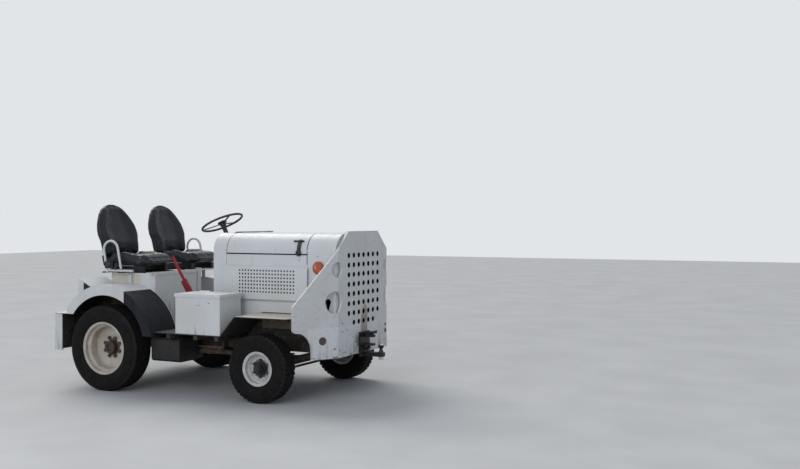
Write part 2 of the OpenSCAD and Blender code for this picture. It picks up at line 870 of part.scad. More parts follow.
module rear_bumper() {
    color("white") {
        box(bumper_x, rail_rear_x, -bumper_half, bumper_half, bumper_low_z, bumper_top_z);
        both_sides() box(bumper_x, bumper_x + bumper_flange, bumper_half - 10, bumper_half,
            bumper_low_z, bumper_top_z);
        box(bumper_x, bumper_x + bumper_flange, -bumper_half, -fender_in, bumper_top_z - 8, bumper_top_z);
        box(bumper_x, bumper_x + bumper_flange, fender_in, bumper_half, bumper_top_z - 8, bumper_top_z);
    }
}

// A towing jaw: two plates with rounded ends and one bore through both
module jaw(x0, x1, z_low, z_high, t, half, bore_r) {
    difference() {
        for (z = [z_low, z_high - t]) {
            box(x0, x1 - half, -half, half, z, z + t);
            rod_z(x1 - half, 0, z, z + t, half);
        }
        rod_z(x1 - half, 0, z_low - 1, z_high + 1, bore_r);
    }
}

module mud_flaps() {
    color("black") both_sides() {
        x = bumper_x + bumper_flange;
        box(x, x + 8, fender_in + 15, bumper_half, bumper_low_z + 15, bumper_top_z);
    }
}

module rear_hitch() {
    color("black") mirror([1, 0, 0]) {
        box(-bumper_x, -bumper_x + 15, -110, 110, 400, 550);
        jaw(-bumper_x + 14, rear_hitch_len - bumper_x, 425, 525, 20, rear_jaw_half,
            0.3 * rear_jaw_half);
    }
}

// One side of the hook's latch: a curved lug that rises from the jaw
module latch_lug(low) {
    side_plate(24, 42) polygon([
        [plate_x + 14, low - 1], [plate_x + 74, low - 1], [plate_x + 100, low + 14],
        [plate_x + 118, low + 32], [plate_x + 106, low + 40], [plate_x + 84, low + 31],
        [plate_x + 50, low + 28], [plate_x + 14, low + 20]
    ]);
}

module front_hitch() {
    pad_top = 560;
    jaw_low = 440;
    jaw_high = 530;
    color("black") {
        box(plate_x, plate_x + 15, -90, 90, bar_low_z, pad_top);
        for (y = [-70, 70], z = [412, 540])
            translate([plate_x + 14, y, z]) rotate([0, 90, 0]) cylinder(h = 13, r = 14, $fn = 6);
        jaw(plate_x + 14, plate_x + 112, jaw_low, jaw_high, 16, 45, 16);
        both_sides() latch_lug(jaw_high);
        box(plate_x + 94, plate_x + 110, -42, 42, jaw_high + 14, jaw_high + 32);
        // Gussets under the jaw
        for (y = [-42, 30]) side_plate(y, y + 12)
            polygon([
                [plate_x + 14, jaw_low + 1], [plate_x + 64, jaw_low + 1],
                [plate_x + 14, bar_low_z + 40]
            ]);
        difference() {
            box(plate_x + 1, plate_x + front_hitch_len, -30, 30, bar_low_z, bar_low_z + bar_t);
            rod_z(ball_x, 0, bar_low_z - 10, 400, 0.4 * ball_r);
        }
    }
    // Ball with its collar above and its nut under the bar
    color("silver") {
        rod_z(ball_x, 0, bar_low_z - 30, 405, 0.4 * ball_r);
        translate([ball_x, 0, bar_low_z + bar_t]) cylinder(h = 25, r1 = 0.92 * ball_r, r2 = 0.6 * ball_r);
        rod_z(ball_x, 0, 397, ball_z, 0.5 * ball_r);
        translate([ball_x, 0, ball_z]) sphere(ball_r);
        translate([ball_x, 0, bar_low_z - 26]) cylinder(h = 26, r = ball_r, $fn = 6);
    }
}

// Seats
module seat_box() {
    color("white") {
        difference() {
            box(seat_box_rear_x, seat_box_x, -fender_in, seat_box_left, deck_z, seat_box_z);
            box(seat_box_rear_x + box_sheet, seat_box_x - box_sheet, box_sheet - fender_in,
                seat_box_left - box_sheet, deck_z - 1, seat_box_z - box_sheet);
        }
        box(seat_box_x, seat_box_x + box_sheet, -fender_in, seat_box_left, floor_z, seat_box_z);
        box(seat_box_x, seat_box_x + 13, -fender_in, seat_box_left, seat_box_z - 14, seat_box_z);
        // Angle beside the box, under the left seat
        y = seat_box_left + 20;
        box(seat_box_x, seat_box_x + box_sheet, y, y + 52, deck_z, seat_box_z);
        box(seat_box_x - 40, seat_box_x + 1, y, y + box_sheet, deck_z, seat_box_z);
    }
}

// Posts that carry the left seat beside the box, and brackets on both fenders
module seat_posts() {
    color("black") {
        for (post = [[495, 160], [130, 160], [495, 500], [370, 500]]) {
            x = seat_box_x - post[0];
            box(x - 15, x + 15, post[1] - 15, post[1] + 15, deck_z, seat_box_z);
        }
        both_sides() difference() {
            box(fender_x - 20, fender_x + 20, fender_in + 10, fender_in + 16, fender_z,
                seat_box_z);
            rod_y(fender_x, 0, 900, fender_z, fender_r);
        }
        both_sides() box(fender_x - 20, fender_x + 20, fender_in + 10, fender_in + 50,
            seat_box_z - 6, seat_box_z);
    }
}

module seat_frame() {
    color("black") {
        for (x = frame_bar_x)
            box(x - 15, x + 15, -hoop_y - hoop_r, hoop_y + hoop_r, seat_box_z, seat_box_z + 12);
        for (y = [-520, -200, 200, 520])
            box(frame_bar_x[0], frame_bar_x[2], y - 15, y + 15, seat_box_z, seat_box_z + 12);
        both_sides() for (s = [-1, 1])
            box(frame_bar_x[0] + 10, cushion_front_x - 90, seat_y + s * 160 - 20, seat_y + s * 160 + 20,
                seat_box_z + 12, cushion_low_z);
    }
}

module cushion() {
    r = 50;
    x0 = cushion_rear_x;
    x1 = cushion_front_x;
    w = seat_w / 2;
    translate([0, seat_y, cushion_low_z]) linear_extrude(cushion_top_z - cushion_low_z) {
        translate([x0, -w]) square([x1 - x0 - r, 2 * w]);
        translate([x0, r - w]) square([x1 - x0, 2 * (w - r)]);
        for (s = [-1, 1]) translate([x1 - r, s * (w - r)]) circle(r);
    }
    // Side bolsters, higher towards the back
    for (s = [-1, 1]) {
        y = seat_y + s * (w - 34);
        side_plate(y - 32, y + 32) polygon([
            [back_front_x + 2, cushion_top_z - 1], [back_front_x + 2, cushion_top_z + 32],
            [back_front_x + 30, cushion_top_z + 42], [back_front_x + 130, cushion_top_z + 42],
            [x1 - 60, cushion_top_z + 12], [x1 - 40, cushion_top_z - 1]
        ]);
    }
}

// The seat back: at each part of its height, its half width and its thickness
back_form = [
    [0.00, 0.860, 118], [0.07, 0.885, 118], [0.18, 0.910, 114], [0.28, 0.940, 110],
    [0.39, 1.000, 105], [0.49, 0.985, 99], [0.60, 0.928, 90], [0.70, 0.829, 80],
    [0.81, 0.688, 69], [0.91, 0.505, 56], [0.965, 0.320, 44], [1.00, 0.100, 30]
];

// Place of the back's front face, curved back towards its top
function back_x(v, h) = back_front_x - h * tan(seat_lean) * pow(v, 1.55);

module backrest_outline(h, inset) {
    half = [for (p = back_form) [max(p[1] * back_w / 2 - inset, 4), p[0] * h]];
    mirrored = [for (i = [len(half) - 1:-1:0]) [-half[i][0], half[i][1]]];
    polygon(concat(half, mirrored));
}

module backrest() {
    low = cushion_top_z + seat_gap;
    h = seat_top_z - low;
    front = [for (p = back_form) [back_x(p[0], h), p[0] * h]];
    rear = [for (i = [len(back_form) - 1:-1:0])
        [back_x(back_form[i][0], h) - back_form[i][2], back_form[i][0] * h]];
    translate([0, seat_y, low]) difference() {
        intersection() {
            side_plate(-back_w, back_w) polygon(concat(front, rear));
            translate([-2000, 0, 0]) rotate([90, 0, 90]) linear_extrude(2000)
                backrest_outline(h, 0);
        }
        // Dished front between the side bolsters
        intersection() {
            side_plate(-back_w, back_w) polygon(concat(
                [for (p = front) [p[0] - 32, p[1] - 1]],
                [[back_front_x + 100, h + 1], [back_front_x + 100, -1]]
            ));
            translate([-2000, 0, 0]) rotate([90, 0, 90]) linear_extrude(2000)
                translate([0, -1]) backrest_outline(h - 45, 62);
        }
    }
    // Tail of the shell behind the cushion
    x = back_front_x - back_form[0][2];
    side_plate(seat_y - 190, seat_y + 190) polygon([
        [x, low + 1], [x + 16, cushion_low_z - 4], [cushion_rear_x - seat_gap, cushion_low_z - 4],
        [cushion_rear_x - seat_gap, low + 1]
    ]);
}

module seat_cushion_right() {
    color("black") mirror_y() cushion();
}

module seat_cushion_left() {
    color("black") cushion();
}

module seat_back_right() {
    color("black") mirror_y() backrest();
}

module seat_back_left() {
    color("black") backrest();
}

module armrest() {
    leg = 84;
    lean = hoop_lean;
    foot_x = hoop_foot_x;
    low_z = seat_box_z + 12;
    tube_z = low_z + hoop_r;
    rise = (hoop_top_z - tube_z) / cos(lean) - leg - hoop_r;
    translate([foot_x, 0, tube_z]) rotate([0, -lean, 0]) {
        for (s = [-1, 1]) rod_z(s * leg, 0, 0, rise, hoop_r);
        translate([0, 0, rise]) rotate([90, 0, 0])
            rotate_extrude(angle = 180) translate([leg, 0]) circle(hoop_r);
    }
    rod_x(foot_x - leg - 14, foot_x + leg + 140, 0, tube_z, hoop_r);
    for (x = [foot_x - leg, foot_x + leg]) box(x - 11, x + 11, -9, 9, low_z, tube_z);
    box(foot_x + leg + 110, foot_x + leg + 132, -9, 9, low_z, tube_z);
    // Belt reel
    box(foot_x - 62, foot_x - 38, -6, 6, tube_z, tube_z + 23);
    box(foot_x - 92, foot_x + 5, -14, 24, tube_z + 22, tube_z + 84);
}

module armrests() {
    color("white") both_sides() translate([0, hoop_y, 0]) armrest();
}

// Driver's controls
module on_column() {
    translate([wheel_x, wheel_y, steering_wheel_z]) rotate([0, -steering_tilt, 0]) children();
}

module steering_column() {
    drop = (steering_wheel_z - floor_z) / cos(steering_tilt);
    color("black") {
        intersection() {
            on_column() translate([0, 0, -drop - 60]) cylinder(h = drop + 60 - 40, r = column_r);
            box(-600, dash_x, 0, 600, floor_z, 2000);
        }
        on_column() translate([0, 0, -60])
            cylinder(h = 60 + hub_bore_end - seat_gap, r = column_shaft_r);
        box(10, dash_x - 12, wheel_y - 45, wheel_y + 45, floor_z, floor_z + 70);
        box(dash_x - 200, dash_x, wheel_y - 20, wheel_y + 20, 900, 912);
    }
}

module steering_wheel() {
    rim_r = 11;
    ring = steering_wheel_d / 2 - rim_r;
    color("black") on_column() difference() {
        union() {
            rotate_extrude($fn = 96) translate([ring, 0]) circle(rim_r);
            translate([0, 0, -35]) cylinder(h = 30, r = 30);
            for (a = [90, 210, 330]) rotate(a)
                translate([0, -9, -16]) rotate([0, -3, 0]) cube([ring - 3, 18, 7]);
        }
        translate([0, 0, -70]) cylinder(h = 70 + hub_bore_end, r = column_shaft_r + turn_gap);
    }
}

// A flat bar between two points of the X and Z plane
module lever_bar(x0, z0, x1, z1, w, y0, y1) {
    a = atan2(z1 - z0, x1 - x0);
    len_bar = norm([x1 - x0, z1 - z0]);
    side_plate(y0, y1) translate([x0, z0]) rotate(a) translate([0, -w / 2]) square([len_bar, w]);
}

// Instruments on the dash in front of the driver: a panel with three round
// dials and a key switch
module instruments() {
    half_w = 150;
    mid_z = 1290;
    dials = [[-95, 30], [-20, 38], [55, 30]];
    color("black") {
        box(dash_x - 8, dash_x, wheel_y - 60 - half_w, wheel_y - 60 + half_w - 40,
            mid_z - 55, mid_z + 55);
        for (d = dials) difference() {
            rod_x(dash_x - 22, dash_x - 8, wheel_y - 60 + d[0], mid_z, d[1]);
            rod_x(dash_x - 23, dash_x - 19, wheel_y - 60 + d[0], mid_z, d[1] - 4);
        }
        rod_x(dash_x - 20, dash_x - 8, wheel_y - 60 - 135, mid_z, 11);
    }
}

module brake_lever() {
    color("firebrick") {
        lever_bar(-440, 1205, -300, 980, 26, -356, -344);
        lever_bar(-306, 990, -46, 590, 34, -358, -342);
        lever_bar(-310, 985, -225, 855, 56, -362, -338);
        box(-90, -10, -366, -334, floor_z, floor_z + 30);
        rod_y(-46, -366, -334, floor_z + 38, 22);
    }
}

module pedals() {
    color("black") for (y = [215, 435]) {
        lever_bar(dash_x - 12, 800, 30, 660, 16, y - 6, y + 6);
        box(dash_x - 14, dash_x, y - 20, y + 20, 780, 820);
        translate([30, 0, 660]) rotate([0, 35, 0]) box(-16, -6, y - 35, y + 35, -45, 45);
    }
}

// Under the tractor
module fuel_tank() {
    y1 = board_half - 90;
    y0 = exhaust_y + 52;
    color("black") mirror_y() {
        difference() {
            box(-345, -35, y0, y1, tank_low_z, 500);
            for (y = [y0, y1], z = [tank_low_z, 500])
                translate([-190, y, z]) rotate([45, 0, 0]) cube([400, 28, 28], center = true);
        }
        for (i = [0, 1])
            box(outrigger_x[i] - 18, outrigger_x[i] + 18, y0 + 40, y1 - 40, 499, outrigger_low_z);
    }
}

module front_axle() {
    color("dimgray") difference() {
        union() {
            box(axle_x - beam_w / 2, axle_x + beam_w / 2, -kingpin_y, kingpin_y,
                beam_top_z - beam_h, beam_top_z);
            both_sides() {
                rod_z(axle_x, kingpin_y, front_tyre_r - boss_half_h,
                    front_tyre_r + boss_half_h, boss_r);
                box(axle_x - 50, axle_x + 50, front_spring_y - leaf_w / 2,
                    front_spring_y + leaf_w / 2, beam_top_z - 1, front_pad_z);
            }
        }
        both_sides() rod_z(axle_x, kingpin_y, 0, 600, kingpin_r + turn_gap);
        // The beam's I section
        for (s = [-1, 1])
            translate([axle_x + s * beam_w / 2, 0, front_tyre_r])
                cube([34, 2 * kingpin_y - 160, beam_h - 28], center = true);
    }
}

// A clamp that holds a spring on its axle: two plates and four bolts.
// half_x and half_y reach to the bolts, from plate low to plate high.
module spring_clamp(x, y, half_x, half_y, low, high) {
    t = 10;
    bolt_r = 7;
    for (z = [low - t, high])
        box(x - half_x - 14, x + half_x + 14, y - half_y - 12, y + half_y + 12, z, z + t);
    for (sx = [-1, 1], sy = [-1, 1]) {
        rod_z(x + sx * half_x, y + sy * half_y, low - t - 18, high + t + 3, bolt_r);
        translate([x + sx * half_x, y + sy * half_y, low - t - 12])
            cylinder(h = 12, r = 12, $fn = 6);
    }
}

module spring_clamps() {
    color("dimgray") both_sides() {
        spring_clamp(axle_x, front_spring_y, 58, leaf_w / 2 + 9, beam_top_z - beam_h,
            front_pad_z + leaf_n * front_leaf_t + 2.5);
        spring_clamp(rear_x, rear_spring_y, axle_tube_r + 10, leaf_w / 2 + 9,
            rear_tyre_r - axle_tube_r, rear_pad_z + leaf_n * rear_leaf_t + 2.5);
    }
}

// A pack of leaves curved up from seat_z in the middle to the eyes at eye_z
module leaf_spring(x, y, half, t, seat_z, eye_z) {
    mid_z = seat_z + leaf_n * t - t / 2;
    rise = eye_z - mid_z;
    r = (half * half + rise * rise) / (2 * rise);
    difference() {
        translate([x, y, mid_z + r]) rotate([90, 0, 0]) translate([0, 0, -leaf_w / 2]) {
            for (i = [0:leaf_n - 1])
                intersection() {
                    linear_extrude(leaf_w) difference() {
                        circle(r + t / 2 + i * t, $fn = 180);
                        circle(r - t / 2, $fn = 180);
                    }
                    reach = i == 0 ? half : half * (1 - i / leaf_n) + 20;
                    translate([-reach, -r - 200, -1]) cube([2 * reach, 300, leaf_w + 2]);
                }
            for (s = [-1, 1]) translate([s * half, rise - r, 0])
                cylinder(h = leaf_w, r = spring_eye_r);
        }
        for (s = [-1, 1])
            rod_y(x + s * half, y - leaf_w, y + leaf_w, eye_z, spring_pin_r + seat_gap);
    }
}

module leaf_springs() {
    color("dimgray") both_sides() {
        leaf_spring(axle_x, front_spring_y, front_spring_half, front_leaf_t,
            front_pad_z, front_eye_z);
        leaf_spring(rear_x, rear_spring_y, rear_spring_half, rear_leaf_t,
            rear_pad_z, rear_eye_z);
    }
}

module rear_axle() {
    z = rear_tyre_r;
    color("dimgray") {
        rod_y(rear_x, -axle_tube_end, axle_tube_end, z, axle_tube_r);
        rod_x(rear_x - 90, rear_x + 100, 0, z, 145);
        rod_x(rear_x + 90, rear_x + 170, 0, z + 8, 75);
        rod_x(rear_x + 160, rear_x + 210, 0, z + 15, 48);
        both_sides() {
            rod_y(rear_x, axle_tube_end - 1, axle_tube_end + 10, z, 140);
            rod_y(rear_x, axle_tube_end, 775, z, spindle_r);
            box(rear_x - 50, rear_x + 50, rear_spring_y - leaf_w / 2,
                rear_spring_y + leaf_w / 2, z + 30, rear_pad_z);
        }
    }
}

// Steered parts
module knuckle() {
    z = front_tyre_r;
    top = z + boss_half_h + 1;
    low = z - boss_half_h - 1;
    y = kingpin_y;
    color("dimgray") {
        rod_z(axle_x, y, low - ear_h, top + ear_h, kingpin_r);
        for (z0 = [top, low - ear_h]) {
            rod_z(axle_x, y, z0, z0 + ear_h, boss_r + 2);
            box(axle_x - boss_r - 2, axle_x + boss_r + 2, y, y + 52, z0, z0 + ear_h);
        }
        box(axle_x - 45, axle_x + 45, y + 40, y + 52, low - ear_h, top + ear_h);
        rod_y(axle_x, y + 51, y + 175, z, front_spindle_r);
        // Steering arm with the tie rod's pin
        box(axle_x - steer_arm, axle_x, y - 20, y + 20, low - ear_h, low - ear_h + 20);
        rod_z(axle_x - steer_arm, y, low - ear_h, low - ear_h + 20, 20);
        rod_z(axle_x - steer_arm, y, low - ear_h - 42, low - ear_h + 1, 8);
        rod_z(axle_x - steer_arm, y, low - ear_h - 48, low - ear_h - 42, 13);
    }
}

module knuckle_right() {
    mirror_y() knuckle();
}

module knuckle_left() {
    knuckle();
}

module tie_rod() {
    z = front_tyre_r - boss_half_h - 1 - ear_h - 25;
    color("dimgray") difference() {
        union() {
            rod_y(axle_x - steer_arm, -kingpin_y + 14, kingpin_y - 14, z, tie_rod_r);
            both_sides() rod_z(axle_x - steer_arm, kingpin_y, z - 12, z + 12, 18);
        }
        both_sides() rod_z(axle_x - steer_arm, kingpin_y, z - 20, z + 20, 8 + turn_gap);
    }
}

// Wheels: turned about Y at the wheel's middle, outer side towards +Y.
// The section is drawn as [radius, offset from the wheel's middle].
module turned(x, y, z) {
    translate([x, y, z]) rotate([-90, 0, 0]) rotate_extrude($fn = 96) children();
}

module rim_section(lip_r, half) {
    seat_r = lip_r - 16;
    well_r = seat_r - 22;
    t = 7;
    polygon([
        [lip_r, half], [lip_r, half - 6], [seat_r, half - 10], [seat_r, half - 34],
        [well_r, half - 50], [well_r, 50 - half], [seat_r, 34 - half], [seat_r, 10 - half],
        [lip_r, 6 - half], [lip_r, -half], [lip_r - 8, -half], [seat_r - t, 6 - half],
        [seat_r - t, 36 - half], [well_r - t, 54 - half], [well_r - t, half - 54],
        [seat_r - t, half - 36], [seat_r - t, half - 6], [lip_r - 8, half]
    ]);
}

// Rim with disc, hub, nuts and drum. disc is the disc's outer face and hub
// is [radius, outer end, inner end, bore radius, bore end], measured outward
// from the wheel's middle.
module rim(x, y, z, lip_r, half, disc, pcd, nuts, nut_r, hub, drum_r, drum_in) {
    color("ivory") difference() {
        union() {
            turned(x, y, z) rim_section(lip_r, half);
            turned(x, y, z) translate([0, disc - 10]) square([lip_r - 40, 10]);
            rod_y(x, y + hub[2], y + hub[1], z, hub[0]);
            rod_y(x, y + drum_in, y + disc - 9, z, drum_r);
            for (i = [0:nuts - 1]) rotate_about(x, y, z, i * 360 / nuts + 180 / nuts)
                translate([pcd / 2, 0, disc - 1]) cylinder(h = 19, r = nut_r, $fn = 6);
            children();
        }
        rod_y(x, y + hub[2] - 1, y + hub[4], z, hub[3] + turn_gap);
    }
}

module rotate_about(x, y, z, a) {
    translate([x, y, z]) rotate([-90, 0, 0]) rotate(a) children();
}

module front_rim() {
    half = front_rim_face - front_wheel_y;
    disc = half - front_disc_depth;
    rim(axle_x, front_wheel_y, front_tyre_r, front_lip_r, half, disc, front_nut_pcd, 6, 12,
        [40, half - 4, -front_wheel_y + kingpin_y + 57, front_spindle_r,
            -front_wheel_y + kingpin_y + 180],
        95, -front_wheel_y + kingpin_y + 57) {
            rod_y(axle_x, front_wheel_y + disc - 1, front_wheel_y + disc + 22, front_tyre_r, 56);
            rod_y(axle_x, front_wheel_y + half - 5, front_wheel_y + half + 9, front_tyre_r, 29);
        }
}

module rear_rim() {
    half = rear_rim_face - rear_wheel_y;
    disc = half - rear_disc_depth;
    rim(rear_x, rear_wheel_y, rear_tyre_r, rear_lip_r, half, disc, rear_nut_pcd, 8, 17,
        [36, disc + 38, -rear_wheel_y + axle_tube_end + 15, spindle_r, -rear_wheel_y + 780],
        150, -rear_wheel_y + axle_tube_end + 15)
            difference() {
                rod_y(rear_x, rear_wheel_y + disc - 1, rear_wheel_y + disc + 47, rear_tyre_r, 56);
                rod_y(rear_x, rear_wheel_y + disc - 2, rear_wheel_y + disc + 48, rear_tyre_r, 35);
            }
}

module rim_front_right() {
    mirror_y() front_rim();
}

module rim_front_left() {
    front_rim();
}

module rim_rear_right() {
    mirror_y() rear_rim();
}

module rim_rear_left() {
    rear_rim();
}

// A tyre's section: beads on the rim, bulged walls and a flat tread with
// grooves, each given as [offset, width, depth]
module tyre_section(r, w, lip_r, rim_half, grooves) {
    seat = lip_r - 16 + seat_gap;
    wall = r - seat;
    half_points = [
        [seat, rim_half - 11], [lip_r + 1, rim_half - 6], [lip_r + 1, rim_half + 2],
        [seat + 0.30 * wall, 0.475 * w], [seat + 0.5 * wall, 0.5 * w],
        [seat + 0.72 * wall, 0.49 * w], [r - 0.11 * wall, 0.455 * w],
        [r - 0.035 * wall, 0.41 * w], [r, 0.33 * w]
    ];
    difference() {
        polygon(concat(half_points,
            [for (i = [len(half_points) - 1:-1:0]) [half_points[i][0], -half_points[i][1]]]));
        for (g = grooves) translate([r - g[2], g[0] - g[1] / 2]) square([g[2] + 1, g[1]]);
    }
}

module front_tyre() {
    color([0.1, 0.1, 0.1]) turned(axle_x, front_wheel_y, front_tyre_r)
        tyre_section(front_tyre_r, front_tyre_w, front_lip_r,
            front_rim_face - front_wheel_y, [[-16, 6, 8], [16, 6, 8]]);
}

module rear_tyre() {
    color([0.1, 0.1, 0.1]) turned(rear_x, rear_wheel_y, rear_tyre_r)
        tyre_section(rear_tyre_r, rear_tyre_w, rear_lip_r,
            rear_rim_face - rear_wheel_y, [[-54, 9, 10], [-18, 9, 10], [18, 9, 10], [54, 9, 10]]);
}

module tyre_front_right() {
    mirror_y() front_tyre();
}

module tyre_front_left() {
    front_tyre();
}

module tyre_rear_right() {
    mirror_y() rear_tyre();
}

module tyre_rear_left() {
    rear_tyre();
}

frame_rails();
cross_members();
side_sills();
spring_brackets();
front_plate();
front_cowl();
hood_sides();
dash_cowl();
radiator();
engine_block();
exhaust();
driveline();
floor_plates();
running_boards();
toolbox();
fenders();
tail_lamps();
side_lamps();
rear_bumper();
mud_flaps();
rear_hitch();
front_hitch();
seat_box();
seat_posts();
seat_frame();
seat_cushion_right();
seat_cushion_left();
seat_back_right();
seat_back_left();
armrests();
steering_column();
instruments();
brake_lever();
pedals();
fuel_tank();
front_axle();
leaf_springs();
spring_clamps();
rear_axle();
hood_lid();
hood_latches();
toolbox_lid();
steering_wheel();
knuckle_right();
knuckle_left();
tie_rod();
rim_front_right();
rim_front_left();
rim_rear_right();
rim_rear_left();
tyre_front_right();
tyre_front_left();
tyre_rear_right();
tyre_rear_left();
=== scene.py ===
"""Looks of an airport pushback tractor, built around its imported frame.

Lengths are metres in the tractor's own frame: X forward, Y to the driver's left, Z up,
with the origin on the ground midway between the axles.
"""

import itertools
import math

import bmesh
import bpy
import numpy as np
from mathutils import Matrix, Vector, noise
from mathutils.bvhtree import BVHTree


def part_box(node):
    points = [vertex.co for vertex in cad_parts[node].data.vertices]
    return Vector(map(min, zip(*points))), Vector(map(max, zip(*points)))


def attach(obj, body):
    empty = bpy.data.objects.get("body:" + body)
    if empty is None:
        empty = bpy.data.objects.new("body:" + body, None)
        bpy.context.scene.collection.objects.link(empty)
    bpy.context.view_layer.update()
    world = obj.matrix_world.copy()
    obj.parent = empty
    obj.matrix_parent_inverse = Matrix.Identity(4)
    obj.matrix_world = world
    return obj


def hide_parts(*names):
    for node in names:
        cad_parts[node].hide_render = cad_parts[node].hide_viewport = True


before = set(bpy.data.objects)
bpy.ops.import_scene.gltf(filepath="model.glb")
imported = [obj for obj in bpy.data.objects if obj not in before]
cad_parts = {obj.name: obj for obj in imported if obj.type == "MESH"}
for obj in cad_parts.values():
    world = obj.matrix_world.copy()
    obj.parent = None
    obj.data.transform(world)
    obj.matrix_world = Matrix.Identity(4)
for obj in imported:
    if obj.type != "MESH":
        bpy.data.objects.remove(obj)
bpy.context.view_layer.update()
SCENE = bpy.context.scene
# Each side and its sign along Y
SIDES = (("right", -1), ("left", 1))

# Wheel centres on the left side, each as high as its tyre's radius
AXLE_X = 0.8
FRONT_WHEEL = (AXLE_X, 0.718, 0.291)
REAR_WHEEL = (-AXLE_X, 0.776, 0.385)

# Places read from the frame
PLATE_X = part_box("front_plate")[1].x
HOOD_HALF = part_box("hood_lid")[1].y
TOOLBOX_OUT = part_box("toolbox")[0].y
ARMREST_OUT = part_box("armrests")[1].y
BUMPER_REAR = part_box("rear_bumper")[0].x
BALL_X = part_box("front_hitch")[1].x - 0.025
LAMP_LOW, LAMP_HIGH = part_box("side_lamps")
# Place and size of a painted highlight on the amber lens, a little behind and above its middle
LAMP_PAINTED_GLINT = (
    (LAMP_LOW.x + LAMP_HIGH.x) / 2 - 0.020, (LAMP_LOW.z + LAMP_HIGH.z) / 2 + 0.006, 0.012
)

# The anti-slip coat covers the fenders ahead of this place
ANTI_SLIP_X = -0.538


# Camera and light

CAMERA_PLACE = (5.494, -7.684, 1.5495)
CAMERA_YAW = 25.98
CAMERA_PITCH = -0.894
CAMERA_LENS = 44.42
SENSOR_WIDTH = 36.0


def link(name, data):
    obj = bpy.data.objects.new(name, data)
    SCENE.collection.objects.link(obj)
    return obj


def assign(thing, **values):
    for key, value in values.items():
        setattr(thing, key, value)


def make_camera():
    data = bpy.data.cameras.new("camera")
    assign(data, lens=CAMERA_LENS, sensor_width=SENSOR_WIDTH)
    camera = link("camera", data)
    camera.location = CAMERA_PLACE
    camera.rotation_euler = (math.radians(90 + CAMERA_PITCH), 0, math.radians(CAMERA_YAW))
    SCENE.camera = camera


def make_light(name, kind, place, target, power, color, **shape):
    data = bpy.data.lights.new(name, kind)
    assign(data, energy=power, color=color, **shape)
    light = link(name, data)
    light.location = place
    aim = Vector(target) - Vector(place)
    light.rotation_euler = aim.to_track_quat("-Z", "Y").to_euler()


def make_lights():
    """A wide soft sun over the tractor and the floor, and a cool fill."""
    make_light("key", "SUN", (-6.0, 3.6, 7.0), (0, 0, 0), 1.75, (1.0, 0.97, 0.92),
               angle=math.radians(40))
    make_light("fill", "AREA", (1.5, -9.5, 4.5), (0, 0, 0.8), 260, (0.93, 0.96, 1.0),
               shape="DISK", size=6.0)


def make_world():
    """Dim cool light from all round, and a plain pale backdrop for what is seen of it."""
    world = bpy.data.worlds.new("studio")
    SCENE.world = world
    world.use_nodes = True
    nodes, links = world.node_tree.nodes, world.node_tree.links
    nodes.clear()
    output = nodes.new("ShaderNodeOutputWorld")
    shown, lit = nodes.new("ShaderNodeBackground"), nodes.new("ShaderNodeBackground")
    shown.inputs["Color"].default_value = (0.76, 0.78, 0.81, 1)
    lit.inputs["Color"].default_value = (0.80, 0.88, 1.0, 1)
    lit.inputs["Strength"].default_value = 0.50
    rays = nodes.new("ShaderNodeLightPath")
    seen = rays.outputs["Is Camera Ray"]
    for kind in ("Is Glossy Ray", "Is Transmission Ray"):
        either = nodes.new("ShaderNodeMath")
        either.operation = "MAXIMUM"
        links.new(seen, either.inputs[0])
        links.new(rays.outputs[kind], either.inputs[1])
        seen = either.outputs[0]
    mix = nodes.new("ShaderNodeMixShader")
    links.new(seen, mix.inputs[0])
    links.new(lit.outputs[0], mix.inputs[1])
    links.new(shown.outputs[0], mix.inputs[2])
    links.new(mix.outputs[0], output.inputs[0])


def make_floor():
    bpy.ops.mesh.primitive_plane_add(size=60)
    floor = bpy.context.object
    floor.name = "floor"
    floor.data.materials.append(plain_floor())


# Materials

